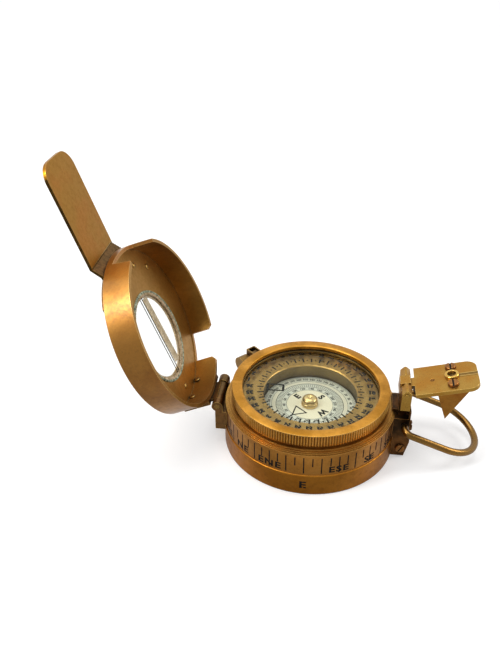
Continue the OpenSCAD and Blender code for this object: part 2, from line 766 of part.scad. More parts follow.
// Flush outside, with a domed head inside the barrel
module case_hinge_rivets() {
    half = case_rivet_spread / 2;
    head_x = -sqrt(barrel_bore_r * barrel_bore_r - pow(half + rivet_head_r, 2));
    color("#6b4f2c") for (side = [-1, 1])
        translate([head_x, side * half, case_rivet_z]) rotate([0, -90, 0]) rivet(head_x - case_leaf_x);
}

module lid_hinge_pin() {
    color("#7a5c33") rod_y(hinge_pin_r, -hinge_half, hinge_half, hinge_x, hinge_z);
}

// Notch below the tongue, drawn out along X through the skirt
module tongue_notch() {
    translate([root_from, 0, 0]) rotate([90, 0, 90]) linear_extrude(lid_r)
        polygon([
            [notch_near_top, lid_z - notch_near_drop], [notch_far_top, lid_z - notch_far_drop],
            [notch_far_edge, skirt_z - over], [notch_near_edge, skirt_z - over]]);
}

// Notch that clears the clamp, under the lid's plate
module side_notch() {
    reach = 2 * lid_r;
    translate([0, 0, skirt_z - over]) linear_extrude(plate_z - 4 * loose_gap - skirt_z + over)
        polygon([
            [0, 0],
            [reach * cos(side_notch_from), reach * sin(side_notch_from)],
            [reach * cos(side_notch_to), reach * sin(side_notch_to)]]);
}

// Shanks of the lid's rivets, grown by a gap; each side of the lid has the same pair for the tongue
module lid_rivet_holes(gap) {
    for (p = tongue_rivets, side = [-1, 1])
        rod_z(rivet_r + gap, plate_z - over, lid_z + 3 * over, p[0], side * p[1]);
    for (y = skirt_rivet_y)
        rod_x(rivet_r + gap, lid_leaf_x - over, skirt_rivet_x(y) + over, y, lid_z - skirt_rivet_drop);
    rod_z(rivet_r + gap, plate_z - over, lid_z + 3 * over, plate_rivet_in - lid_r, plate_rivet_y);
}

module lid_shell() {
    color("#ab7230") on_lid() difference() {
        turned([
            [0, plate_z], [lid_in_r, plate_z], [lid_in_r, skirt_z], [lid_r, skirt_z],
            [lid_r, lid_z - edge_chamfer], [lid_r - edge_chamfer, lid_z], [0, lid_z]]);
        rod_z(window_r, plate_z - over, lid_z + over, window_x, 0);
        rod_z(window_seat_r, plate_z - over, plate_z + lid_glass_t + strip_t + loose_gap, window_x, 0);
        tongue_notch();
        side_notch();
        lid_rivet_holes(seat_gap);
    }
}

module lid_glass() {
    color("#dfe8e4", 0.35) on_lid()
        rod_z(window_seat_r - running_gap, plate_z, plate_z + lid_glass_t, window_x, 0);
}

module lid_glass_ring() {
    ring_in_r = window_r + glass_ring_in;
    color("#6c7a5a") on_lid() translate([window_x, 0, 0])
        ring(ring_in_r + glass_ring_w, ring_in_r, plate_z - glass_ring_t, plate_z);
}

module sight_strip() {
    color("#8d8672") on_lid()
        translate([window_x + strip_x, strip_y, plate_z + lid_glass_t]) rotate([0, 0, strip_turn])
            translate([-strip_len / 2, -strip_w / 2, 0]) cube([strip_len, strip_w, strip_t]);
}

// Root of the tongue: a crescent between the window and the lid's edge
module tongue_root() {
    difference() {
        intersection() {
            rod_z(lid_r - root_inset, lid_z, lid_z + tongue_t, 0, 0);
            block([root_from, -root_half, lid_z], [lid_r, root_half, lid_z + tongue_t]);
        }
        rod_z(window_r + root_clear, lid_z - over, lid_z + tongue_t + over, window_x, 0);
    }
}

// What is cut off to round one corner of the tongue's end
module tongue_corner(r, side) {
    end_x = bend_x + tongue_bend + tongue_len * cos(tongue_slope);
    mid_y = side * (tongue_half - r);
    translate([0, 0, lid_z - tongue_len * sin(tongue_slope)]) linear_extrude(tongue_len) difference() {
        translate([end_x - r, side > 0 ? mid_y : mid_y - r - over]) square(r + over);
        translate([end_x - r, mid_y]) circle(r);
    }
}

module lid_tongue() {
    bend_back = tongue_t * tan(atan2(tongue_rise, tongue_bend) / 2);
    thick = tongue_t * [sin(tongue_slope), cos(tongue_slope)];
    free_from = [bend_x + tongue_bend, lid_z + tongue_rise];
    free_to = free_from + tongue_len * [cos(tongue_slope), -sin(tongue_slope)];
    color("#a56b2b") on_lid() difference() {
        union() {
            tongue_root();
            across(-tongue_half, tongue_half, [
                [bend_x - tongue_lap, lid_z], [bend_x, lid_z], free_from,
                free_to, free_to + thick, free_from + thick,
                [bend_x - bend_back, lid_z + tongue_t], [bend_x - tongue_lap, lid_z + tongue_t]]);
        }
        tongue_corner(tongue_big_r, 1);
        tongue_corner(tongue_small_r, -1);
        lid_rivet_holes(seat_gap);
    }
}

module tongue_rivets() {
    color("#8a5f2c") on_lid() for (p = tongue_rivets, side = [-1, 1])
        translate([p[0], side * p[1], plate_z]) rivet(lid_plate_t + tongue_t);
}

module lid_hinge_leaf() {
    color("#5f4526") on_lid() difference() {
        union() {
            block(
                [lid_leaf_x, -lid_leaf_half, lid_leaf_z],
                [lid_leaf_x + lid_leaf_over, lid_leaf_half, lid_z + lid_leaf_top_t]);
            block(
                [hinge_x + knuckle_r / 2, lid_knuckle_near, hinge_z],
                [lid_leaf_x + lid_leaf_t / 2, lid_knuckle_far, lid_leaf_z + over]);
            rod_y(knuckle_r, lid_knuckle_near, lid_knuckle_far, hinge_x, hinge_z);
        }
        rod_z(lid_r + seat_gap, skirt_z - over, lid_z, 0, 0);
        rod_y(hinge_pin_r + running_gap, -hinge_half, hinge_half, hinge_x, hinge_z);
        lid_rivet_holes(seat_gap);
    }
}

module lid_hinge_rivets() {
    color("#6b4f2c") on_lid() {
        for (y = skirt_rivet_y)
            translate([skirt_rivet_x(y), y, lid_z - skirt_rivet_drop])
                rotate([0, -90, 0]) rivet(skirt_rivet_x(y) - lid_leaf_x);
        translate([plate_rivet_in - lid_r, plate_rivet_y, plate_z]) rivet(lid_plate_t + lid_leaf_top_t);
    }
}

// Where a head's flat seat clears the curved inside of the barrel or the skirt
function inner_head_x() = sqrt(pow(barrel_bore_r, 2) - pow(inner_screw_spread / 2, 2)) + loose_gap;
function skirt_rivet_x(y) = -sqrt(pow(lid_in_r, 2) - pow(abs(y) + rivet_head_r, 2));

module prism_bracket() {
    wall_x = slide_back - loose_gap;
    slot_z = stem_z - slide_travel - 2 * loose_gap;
    color("#5c4022") difference() {
        union() {
            across(-bracket_half, bracket_half, [
                [0, bracket_z], [block_front - block_swell, bracket_z],
                [block_front + block_swell, stop_z - stop_head_r],
                [block_front + block_swell, stop_z + stop_head_r],
                [block_front, ring_z], [block_front, band_z], [0, band_z]]);
            block(
                [block_front - front_wall, -bracket_half, band_z - over],
                [block_front, bracket_half, band_z + front_wall_h]);
            block([wall_x - back_wall, -back_half, band_z - over], [wall_x, back_half, band_z + back_wall_h]);
        }
        case_outside(seat_gap);
        block(
            [stem_front - stem_t - loose_gap, -stem_half - loose_gap, slot_z],
            [stem_front + loose_gap, stem_half + loose_gap, band_z + over]);
        for (side = [-1, 1]) {
            rod_y(
                ring_pin_r + running_gap,
                side * (bracket_half - ring_pin_in / 2) - ring_pin_in / 2 - loose_gap - (side > 0 ? 0 : over),
                side * (bracket_half - ring_pin_in / 2) + ring_pin_in / 2 + loose_gap + (side > 0 ? over : 0),
                ring_x, ring_z);
            rod_y(
                screw_r + seat_gap,
                side * bracket_half - side_screw_len(), side * bracket_half + side_screw_len(),
                slide_x, side_screw_z);
            rod_x(screw_r + seat_gap, 0, inner_screw_end(), side * inner_screw_spread / 2, inner_screw_z);
        }
        rod_x(screw_r + seat_gap, slide_x, block_front + 2 * over, 0, stop_z);
    }
}

// Lengths of the bracket's screws
function side_screw_len() = bracket_half - stem_half - side_screw_cover;
function inner_screw_end() = block_front - inner_screw_cover;

module bracket_screws() {
    seat_x = inner_head_x();
    color("#7a5c33") for (side = [-1, 1])
        translate([seat_x, side * inner_screw_spread / 2, inner_screw_z]) rotate([0, -90, 0])
            screw(inner_head_r, inner_head_h, screw_r, inner_screw_end() - seat_x, 0);
}

module bracket_side_screws() {
    color("#a5602f") for (side = [-1, 1])
        translate([slide_x, side * bracket_half, side_screw_z]) rotate([side * -90, 0, 0])
            screw(side_screw_r, side_screw_h, screw_r, side_screw_len(), side_slot_turn);
}

module slide_stop_screw() {
    seat_x = block_front + block_swell;
    tip_x = stem_front - groove_d + loose_gap;
    color("#8a5a2b") translate([seat_x, 0, stop_z]) rotate([0, 90, 0])
        screw(stop_head_r, stop_head_h, stop_tip_r, seat_x - tip_x, stop_slot_turn);
}

// One ear of the slide, as a profile in X and Z
function ear_profile() = [
    [slide_back, slide_z], [slide_front, slide_z], [slide_front, prism_pin_z + ear_front],
    [slide_x + ear_ridge_half, prism_pin_z + ear_top], [slide_x - ear_ridge_half, prism_pin_z + ear_top],
    [slide_back, prism_pin_z + ear_back]];

module prism_slide() {
    groove_half = stop_tip_r + loose_gap;
    color("#a87b34") difference() {
        union() {
            across(-bracket_half, -ear_gap_half, ear_profile());
            across(ear_gap_half, bracket_half, ear_profile());
            block([slide_back, -bracket_half, slide_z], [slide_front, bracket_half, slide_z + slide_mid_h]);
            block([stem_front - stem_t, -stem_half, stem_z], [stem_front, stem_half, slide_z + over]);
        }
        block(
            [stem_front - groove_d, -groove_half, stop_z - stop_tip_r - running_gap],
            [stem_front + over, groove_half, stop_z + slide_travel + stop_tip_r + running_gap]);
        rod_y(prism_pin_r + seat_gap, -bracket_half - over, bracket_half + over, slide_x, prism_pin_z);
    }
}

module prism_hinge_pin() {
    color("#9c7434")
        rod_y(prism_pin_r, -bracket_half - prism_pin_out, bracket_half + prism_pin_out, slide_x, prism_pin_z);
}

// Outline of the prism's plate, along X from the pin
module plate_outline() {
    neck_half = ear_gap_half - loose_gap;
    translate([0, -neck_half]) square([plate_from + over, 2 * neck_half]);
    translate([plate_from, -plate_half]) square([plate_to - plate_corner_r - plate_from, 2 * plate_half]);
    translate([plate_from, plate_corner_r - plate_half])
        square([plate_to - plate_from, 2 * (plate_half - plate_corner_r)]);
    for (side = [-1, 1])
        translate([plate_to - plate_corner_r, side * (plate_half - plate_corner_r)]) circle(plate_corner_r);
}

module prism_plate() {
    neck_half = ear_gap_half - loose_gap;
    color("#ad8a3c") on_prism() difference() {
        union() {
            translate([0, 0, plate_under]) linear_extrude(plate_t) plate_outline();
            block([-knuckle_half, -neck_half, -knuckle_half], [knuckle_half, neck_half, knuckle_half]);
        }
        rod_y(prism_pin_r + running_gap, -plate_half, plate_half, 0, 0);
        rod_z(eye_spigot_r + running_gap, plate_under - over, plate_top + over, eye_u, eye_y);
        for (side = [-1, 1])
            rod_z(
                prism_screw_r + loose_gap, plate_under - over, plate_top + over,
                eye_u, eye_y + side * prism_screw_off);
        translate([dimple_u, dimple_y, plate_top + dimple_r - dimple_d]) sphere(dimple_r);
    }
}

// Side view of the housing, a triangle with its point down: drawn in by a gap at the two
// sloping sides, and starting at a depth under the plate
function housing_profile(gap, from) =
    let (
        width = housing_to - housing_from,
        near = gap * norm([housing_point, housing_depth]) / housing_depth,
        far = gap * norm([width - housing_point, housing_depth]) / housing_depth,
        point = housing_depth * (1 - (near + far) / width))
    [
        [housing_from + near + housing_point * from / housing_depth, plate_under - from],
        [housing_from + near + housing_point * point / housing_depth, plate_under - point],
        [housing_to - far - (width - housing_point) * from / housing_depth, plate_under - from]];

module prism_housing() {
    color("#a07a36") on_prism() difference() {
        across(-housing_half, housing_half, housing_profile(0, 0));
        across(
            housing_wall - housing_half, housing_half - housing_wall,
            housing_profile(housing_wall, housing_top));
        rod_x(sight_r, housing_from - over, housing_from + 2 * over, eye_y, plate_under - sight_depth);
        rod_z(lens_r, plate_under - 2 * housing_top, plate_under + over, eye_u, eye_y);
        for (side = [-1, 1])
            rod_z(
                prism_screw_r + seat_gap, plate_under - 2 * housing_top, plate_under + over,
                eye_u, eye_y + side * prism_screw_off);
    }
}

module prism_glass() {
    glass_half = housing_half - housing_wall - loose_gap;
    color("#dfe8e4", 0.35) on_prism()
        across(-glass_half, glass_half, housing_profile(housing_wall + loose_gap, housing_top + loose_gap));
}

module eye_lens_ring() {
    color("#c9a55a") on_prism() translate([eye_u, eye_y, 0]) turned([
        [lens_r - lens_ledge, plate_under + running_gap], [eye_spigot_r, plate_under + running_gap],
        [eye_spigot_r, plate_top], [eye_r, plate_top], [eye_r, eye_top - edge_chamfer],
        [eye_r - edge_chamfer, eye_top], [lens_r + running_gap, eye_top], [lens_r + running_gap, lens_z],
        [lens_r - lens_ledge, lens_z]]);
}

module eye_lens() {
    color("#dfe8e4", 0.35) on_prism() rod_z(lens_r, lens_z, lens_z + lens_t, eye_u, eye_y);
}

module prism_screws() {
    color("#a5602f") on_prism() for (side = [-1, 1])
        translate([eye_u, eye_y + side * prism_screw_off, plate_top]) screw(
            prism_head_r, prism_head_h, prism_screw_r, plate_t + housing_top - loose_gap, prism_slot_turn);
}

// The ring's wire in its own plane, from the pivot outwards along X
module ring_wire() {
    for (side = [-1, 1]) {
        shoulder = side * (bracket_half + 3 * loose_gap) - ring_shift;
        bend_y = side * (bow_r - bend_r);
        rod_y(wire_r, min(shoulder, bend_y), max(shoulder, bend_y), 0, 0);
        translate([bend_r, bend_y, 0]) rotate([0, 0, side > 0 ? 90 : 180])
            rotate_extrude(angle = 90) translate([bend_r, 0]) circle(wire_r);
        rod_x(wire_r, bend_r, leg_len, side * bow_r, 0);
        rod_y(
            ring_pin_r,
            side > 0 ? shoulder - ring_pin_in - 3 * loose_gap : shoulder - over,
            side > 0 ? shoulder + over : shoulder + ring_pin_in + 3 * loose_gap, 0, 0);
    }
    translate([leg_len, 0, 0]) rotate([0, 0, -90])
        rotate_extrude(angle = 180) translate([bow_r, 0]) circle(wire_r);
}

module thumb_ring() {
    color("#8b6836") translate([ring_x, ring_shift, ring_z]) rotate([0, ring_droop, 0]) ring_wire();
}

module clamp_bracket() {
    half = clamp_w / 2;
    color("#6b4c26") on_clamp() difference() {
        block([0, -half, clamp_z], [clamp_far, half, clamp_top]);
        block(
            [clamp_in, clamp_wall - half, clamp_z + clamp_wall],
            [clamp_far - clamp_wall, half - clamp_wall, clamp_top + over]);
        block(
            [0, clamp_wall - half, finger_z - loose_gap],
            [(clamp_far + clamp_in) / 2, half - clamp_wall, clamp_top + over]);
        rod_z(band_r + seat_gap, 0, clamp_top + over, 0, 0);
        rod_y(clamp_shaft_r + loose_gap, -half - over, half + over, clamp_axis, clamp_axis_z);
    }
}

module clamp_shoe() {
    half = clamp_w / 2 - clamp_wall - loose_gap;
    shoe_in = clamp_in + loose_gap;
    color("#7c5c30") on_clamp() {
        block([shoe_in, -half, clamp_z + clamp_wall], [shoe_in + shoe_t, half, finger_z + finger_h]);
        block([bezel_r + loose_gap, -half, finger_z], [shoe_in + shoe_t, half, finger_z + finger_h]);
    }
}

// Knob on the side of the lid's hinge, and a riveted end on the other
module clamp_screw() {
    half = clamp_w / 2 + 1.5 * loose_gap;
    color("#8a6230") on_clamp() {
        rod_y(clamp_shaft_r, -half - shaft_end_t, half + over, clamp_axis, clamp_axis_z);
        rod_y(knob_r, half, half + knob_t, clamp_axis, clamp_axis_z);
        rod_y(shaft_end_r, -half - shaft_end_t, -half, clamp_axis, clamp_axis_z);
    }
}

base_cap();
case_barrel();
compass_bowl();
dial_flange();
pivot_post();
bezel_snap_ring();
bezel_ring();
bezel_glass();
glass_retainer();
card_disc();
card_cap();
jewel_cup();
card_magnets();
case_hinge_leaf();
case_hinge_rivets();
lid_hinge_pin();
lid_shell();
lid_glass();
lid_glass_ring();
sight_strip();
lid_tongue();
tongue_rivets();
lid_hinge_leaf();
lid_hinge_rivets();
prism_bracket();
bracket_screws();
bracket_side_screws();
slide_stop_screw();
prism_slide();
prism_hinge_pin();
prism_plate();
prism_housing();
prism_glass();
eye_lens_ring();
eye_lens();
prism_screws();
thumb_ring();
clamp_bracket();
clamp_shoe();
clamp_screw();
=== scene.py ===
import json
import math

import bmesh
import bpy
from mathutils import Matrix, Vector, noise

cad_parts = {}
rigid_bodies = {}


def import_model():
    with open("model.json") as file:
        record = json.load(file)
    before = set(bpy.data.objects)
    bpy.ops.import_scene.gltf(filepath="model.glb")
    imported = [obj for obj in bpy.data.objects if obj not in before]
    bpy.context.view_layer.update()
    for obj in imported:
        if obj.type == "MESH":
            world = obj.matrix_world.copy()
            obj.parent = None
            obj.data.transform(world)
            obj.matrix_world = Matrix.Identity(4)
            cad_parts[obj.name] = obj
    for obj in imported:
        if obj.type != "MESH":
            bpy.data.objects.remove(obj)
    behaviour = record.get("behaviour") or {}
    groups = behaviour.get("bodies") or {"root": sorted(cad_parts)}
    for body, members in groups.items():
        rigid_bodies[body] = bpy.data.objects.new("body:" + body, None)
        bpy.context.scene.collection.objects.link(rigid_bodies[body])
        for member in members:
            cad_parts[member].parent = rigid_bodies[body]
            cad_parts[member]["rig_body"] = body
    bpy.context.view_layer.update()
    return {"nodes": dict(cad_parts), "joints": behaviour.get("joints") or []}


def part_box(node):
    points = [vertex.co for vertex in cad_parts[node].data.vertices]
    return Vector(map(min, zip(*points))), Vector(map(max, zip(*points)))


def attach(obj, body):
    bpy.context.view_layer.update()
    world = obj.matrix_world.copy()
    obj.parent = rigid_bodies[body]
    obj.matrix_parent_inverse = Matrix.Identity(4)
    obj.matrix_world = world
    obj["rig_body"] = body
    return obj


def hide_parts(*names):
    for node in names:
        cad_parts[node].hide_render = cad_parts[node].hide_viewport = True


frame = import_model()

# The case is a spun brass cap with the barrel pressed into it, both dull orange brown from a
# century of hands. The barrel's band carries a point scale, and the cap the four main points,
# cut shallow and filled with black.
MM = 0.001
CAP_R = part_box("base_cap")[1].x
CAP_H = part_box("base_cap")[1].z
BAND_R = CAP_R - 0.4 * MM
EASED_EDGE = 0.14 * MM


def linear(hex_colour):
    """An sRGB hex colour as the linear values that the shaders mix."""
    parts = [int(hex_colour[i:i + 2], 16) / 255 for i in (1, 3, 5)]
    return tuple(p / 12.92 if p <= 0.04045 else ((p + 0.055) / 1.055) ** 2.4 for p in parts) + (1,)


def add(tree, kind, inputs=None, **choices):
    """Adds a node, makes its choices, and sets or joins its inputs."""
    node = tree.nodes.new(kind)
    for name, choice in choices.items():
        setattr(node, name, choice)
    for name, value in (inputs or {}).items():
        if isinstance(value, bpy.types.NodeSocket):
            tree.links.new(value, node.inputs[name])
        else:
            node.inputs[name].default_value = value
    return node


def new_finish(name):
    """A new material, with its node tree and its shader."""
    material = bpy.data.materials.new(name)
    material.use_nodes = True
    return material, material.node_tree, material.node_tree.nodes["Principled BSDF"]


def aged_brass(name, skin, warm, bare_and_glint, grime_and_shade, satin, wear_and_glint=0.7, spots=0.35, depth=1.1, lay=None, line=0.3,
               relief=0.3, film=0.0):
    """Brass gone brown: a thin oxide skin in clouds of two tones with darker freckles, and the edges mixed
    towards bare metal, partly rubbed bright and partly painted with the highlights that edges catch. The
    corners are darkened as deep as depth says, partly as dry dirt and partly as painted shade. Turned pieces
    keep faint lathe lines round the axis that lay brings upright, others a fine grain. A film is what is
    left of the lacquer."""
    material, tree, shader = new_finish(name)
    where = add(tree, "ShaderNodeTexCoord").outputs["Object"]
    clouds = add(tree, "ShaderNodeTexNoise",
                 {"Vector": where, "Scale": 1 / (11 * MM), "Detail": 5, "Roughness": 0.6})
    mottle = add(tree, "ShaderNodeTexNoise",
                 {"Vector": where, "Scale": 1 / (1.6 * MM), "Detail": 6, "Roughness": 0.72})
    freckles = add(tree, "ShaderNodeTexNoise", {"Vector": where, "Scale": 1 / (0.45 * MM), "Detail": 2})
    cloud = add(tree, "ShaderNodeMapRange", {0: clouds.outputs["Fac"], 1: 0.38, 2: 0.64},
                interpolation_type="SMOOTHSTEP")
    freckle = add(tree, "ShaderNodeMapRange",
                  {0: freckles.outputs["Fac"], 1: 0.68, 2: 0.78, 4: min(1, 2 * spots)})
    dull = add(tree, "ShaderNodeMapRange", {0: mottle.outputs["Fac"], 1: 0.45, 2: 0.78, 4: spots})
    # Dirt and painted shade: where ambient occlusion finds a corner closed in, the grime colour is mixed in,
    # and the brass turns rougher and less metallic.
    corner = add(tree, "ShaderNodeAmbientOcclusion", {"Distance": depth * MM}, samples=6)
    dirt_and_shade = add(tree, "ShaderNodeMapRange", {0: corner.outputs["AO"], 1: 0.75, 2: 0.3, 4: 0.92},
               interpolation_type="SMOOTHSTEP")
    # Wear and painted highlight: edges that the bevel node finds are mixed towards the bare colour, for
    # rubbed metal and for the glints that edges catch.
    flat = add(tree, "ShaderNodeNewGeometry").outputs["Normal"]
    rounded = add(tree, "ShaderNodeBevel", {"Radius": 0.32 * MM}, samples=6).outputs["Normal"]
    turn = add(tree, "ShaderNodeVectorMath", {0: flat, 1: rounded}, operation="DOT_PRODUCT")
    edge = add(tree, "ShaderNodeMapRange", {0: turn.outputs["Value"], 1: 0.985, 2: 0.86, 4: wear_and_glint},
               interpolation_type="SMOOTHSTEP")
    rubbed_and_glint = add(tree, "ShaderNodeMath", {0: edge.outputs[0], 1: mottle.outputs["Fac"]},
                 operation="MULTIPLY")
    rubbed_and_glint = add(tree, "ShaderNodeMath", {0: rubbed_and_glint.outputs[0], 1: 1.9}, operation="MULTIPLY",
                 use_clamp=True)
    tone = add(tree, "ShaderNodeMix", {0: cloud.outputs[0], 6: linear(skin), 7: linear(warm)},
               data_type="RGBA")
    tone = add(tree, "ShaderNodeMix", {0: dull.outputs[0], 6: tone.outputs[2], 7: linear(grime_and_shade)},
               data_type="RGBA")
    tone = add(tree, "ShaderNodeMix", {0: rubbed_and_glint.outputs[0], 6: tone.outputs[2], 7: linear(bare_and_glint)},
               data_type="RGBA")
    tone = add(tree, "ShaderNodeMix", {0: dirt_and_shade.outputs[0], 6: tone.outputs[2], 7: linear(grime_and_shade)},
               data_type="RGBA")
    tone = add(tree, "ShaderNodeMix", {0: freckle.outputs[0], 6: tone.outputs[2], 7: linear(grime_and_shade)},
               data_type="RGBA")
    if lay is None:
        grain = add(tree, "ShaderNodeMapping",
                    {"Vector": where, "Scale": (1 / (0.12 * MM), 1 / (1.5 * MM), 1 / (0.12 * MM))})
    else:
        upright = add(tree, "ShaderNodeMapping", {
            "Vector": where, "Location": lay.to_translation(), "Rotation": lay.to_euler()})
        parts = add(tree, "ShaderNodeSeparateXYZ", {"Vector": upright.outputs[0]})
        across = add(tree, "ShaderNodeCombineXYZ", {"X": parts.outputs["X"], "Y": parts.outputs["Y"]})
        radius = add(tree, "ShaderNodeVectorMath", {0: across.outputs[0]}, operation="LENGTH")
        turned = add(tree, "ShaderNodeCombineXYZ", {"X": radius.outputs["Value"], "Y": parts.outputs["Z"]})
        grain = add(tree, "ShaderNodeMapping",
                    {"Vector": turned.outputs[0], "Scale": (1 / (line * MM),) * 3})
    lines = add(tree, "ShaderNodeTexNoise",
                {"Vector": grain.outputs[0], "Scale": 1.0, "Detail": 3, "Roughness": 0.7})
    height = add(tree, "ShaderNodeMath", {0: lines.outputs["Fac"], 1: mottle.outputs["Fac"]},
                 operation="ADD")
    bump = add(tree, "ShaderNodeBump",
               {"Strength": relief, "Distance": 0.03 * MM, "Height": height.outputs[0]})
    rough = add(tree, "ShaderNodeMapRange",
                {0: mottle.outputs["Fac"], 1: 0.3, 2: 0.75, 3: satin - 0.08, 4: satin + 0.14})
    rough = add(tree, "ShaderNodeMath", {0: dirt_and_shade.outputs[0], 1: 0.35, 2: rough.outputs[0]},
                operation="MULTIPLY_ADD", use_clamp=True)
    metal = add(tree, "ShaderNodeMapRange", {0: dirt_and_shade.outputs[0], 3: 1.0, 4: 0.4})
    shader.inputs["Coat Weight"].default_value = film
    shader.inputs["Coat Roughness"].default_value = 0.3
    for socket, source in (("Base Color", tone.outputs[2]), ("Roughness", rough.outputs[0]),
                           ("Metallic", metal.outputs[0]), ("Normal", bump.outputs[0])):
        tree.links.new(source, shader.inputs[socket])
    return material


def eased(node, material, edge=EASED_EDGE, sharp=28, filed=None):
    """Stands a copy in a CAD node's place, with its edges eased as use has worn them. A function
    given as filed first moves any corners that the maker took off with a file."""
    source = frame["nodes"][node]
    shape = bmesh.new()
    shape.from_mesh(source.data)
    bmesh.ops.remove_doubles(shape, verts=shape.verts, dist=0.001 * MM)
    for vert in shape.verts:
        if filed:
            vert.co = filed(vert.co)
    bmesh.ops.dissolve_limit(shape, angle_limit=math.radians(0.8), verts=shape.verts, edges=shape.edges)
    corners = [e for e in shape.edges if e.is_manifold and e.calc_face_angle() > math.radians(sharp)]
    bmesh.ops.bevel(
        shape, geom=corners, offset=edge, offset_type="OFFSET", segments=2, profile=0.5,
        affect="EDGES", material=-1, clamp_overlap=True)
    return piece(node + ".worn", shape, material, source["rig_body"], node)


def piece(name, shape, material, body, *nodes):
    """Makes a finished shape into a piece that rides on a body and stands for its CAD nodes."""
    mesh = bpy.data.meshes.new(name)
    shape.to_mesh(mesh)
    shape.free()
    mesh.shade_smooth()
    mesh.set_sharp_from_angle(angle=math.radians(38))
    made = bpy.data.objects.new(name, mesh)
    bpy.context.collection.objects.link(made)
    made.modifiers.new("flats", "WEIGHTED_NORMAL").keep_sharp = True
    made.data.materials.append(material)
    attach(made, body)
    if nodes:
        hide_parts(*nodes)
    return made


def refinish(made, material, chosen):
    """Gives a second finish to the faces that chosen picks by their middles."""
    made.data.materials.append(material)
    for face in made.data.polygons:
        if chosen(face.center):
            face.material_index = len(made.data.materials) - 1


# Handled brass is brown in clouds and bare along its edges. The moulding is duller and painted darker, as
# the shade under the bezel, and the band is painted lighter and yellower than the cap, for the light that
# falls on it.
UPRIGHT = Matrix.Identity(4)
case_brass = aged_brass("case_brass", "#AA6C20", "#B67828", "#E6B664", "#3E2A14", satin=0.36, wear_and_glint=1.0,
                        lay=UPRIGHT)
shoulder_brass_shaded = aged_brass("shoulder_brass_shaded", "#946A32", "#AC7E3A", "#E0AE5A", "#382612", satin=0.34,
                            wear_and_glint=1.0, spots=0.2, depth=0.4, lay=UPRIGHT, relief=0.0)
band_brass = aged_brass("band_brass", "#AE7632", "#BA823C", "#E6B664", "#3E2A14", satin=0.36, wear_and_glint=1.0,
                        lay=UPRIGHT)
base_cap = eased("base_cap", case_brass)
barrel = eased("case_barrel", band_brass, edge=0.1 * MM)
SHOULDER_Z = 16.9 * MM  # the stepped moulding starts here, painted darker as the shade under the bezel
refinish(barrel, shoulder_brass_shaded, lambda middle: middle.z > SHOULDER_Z)

LETTER_DEPTH = 0.03 * MM


def lettering(text, height, spread=1.0, bold=0.014, wide=1.0):
    """Plain letters as a flat shape, centred, reading along X and facing up."""
    curve = bpy.data.curves.new("letters", "FONT")
    curve.body = text
    curve.extrude = 0.02
    curve.offset = bold
    curve.space_character = spread
    curve.resolution_u = 3
    holder = bpy.data.objects.new("letters", curve)
    mesh = bpy.data.meshes.new_from_object(holder)
    shape = bmesh.new()
    shape.from_mesh(mesh)
    low = Vector([min(v.co[i] for v in shape.verts) for i in range(3)])
    high = Vector([max(v.co[i] for v in shape.verts) for i in range(3)])
    size = height / (high.y - low.y)
    bmesh.ops.translate(shape, vec=-(low + high) / 2, verts=shape.verts)
    bmesh.ops.scale(shape, vec=(size * wide, size, LETTER_DEPTH / (high.z - low.z)), verts=shape.verts)
    bpy.data.objects.remove(holder)
    bpy.data.meshes.remove(mesh)
    return shape


def bar(along, across):
    """A flat bar, long in X, as thin as the letters."""
    shape = bmesh.new()
    bmesh.ops.create_cube(shape, size=1)
    bmesh.ops.scale(shape, vec=(along, across, LETTER_DEPTH), verts=shape.verts)
    return shape


def gather(whole, part, place):
    """Puts a small shape in its place and joins it to the whole."""
    bmesh.ops.transform(part, matrix=place, verts=part.verts)
    mesh = bpy.data.meshes.new("part")
    part.to_mesh(mesh)
    part.free()
    whole.from_mesh(mesh)
    bpy.data.meshes.remove(mesh)


def wrap(shape, radius, bearing, z):
    """Bends a flat shape round the case, its X along the wall and its Y up."""
    for vert in shape.verts:
        turn = bearing + vert.co.x / radius
        out = radius + vert.co.z
        vert.co = (out * math.cos(turn), out * math.sin(turn), z + vert.co.y)


def black_fill(name, colour, gloss, fade=0.5):
    """Black wax or paint in cut marks: matt, slightly grey where it has worn, as far as fade says."""
    material, tree, shader = new_finish(name)
    where = add(tree, "ShaderNodeTexCoord").outputs["Object"]
    rub = add(tree, "ShaderNodeTexNoise", {"Vector": where, "Scale": 1 / (0.7 * MM), "Detail": 3})
    worn = add(tree, "ShaderNodeMapRange", {0: rub.outputs["Fac"], 1: 0.5, 2: 0.8, 4: fade})
    tone = add(tree, "ShaderNodeMix", {0: worn.outputs[0], 6: linear(colour), 7: linear("#5C5142")},
               data_type="RGBA")
    bump = add(tree, "ShaderNodeBump",
               {"Strength": 0.3, "Distance": 0.02 * MM, "Height": rub.outputs["Fac"]})
    shader.inputs["Roughness"].default_value = gloss
    shader.inputs["Specular IOR Level"].default_value = 0.08
    tree.links.new(tone.outputs[2], shader.inputs["Base Color"])
    tree.links.new(bump.outputs[0], shader.inputs["Normal"])
    return material


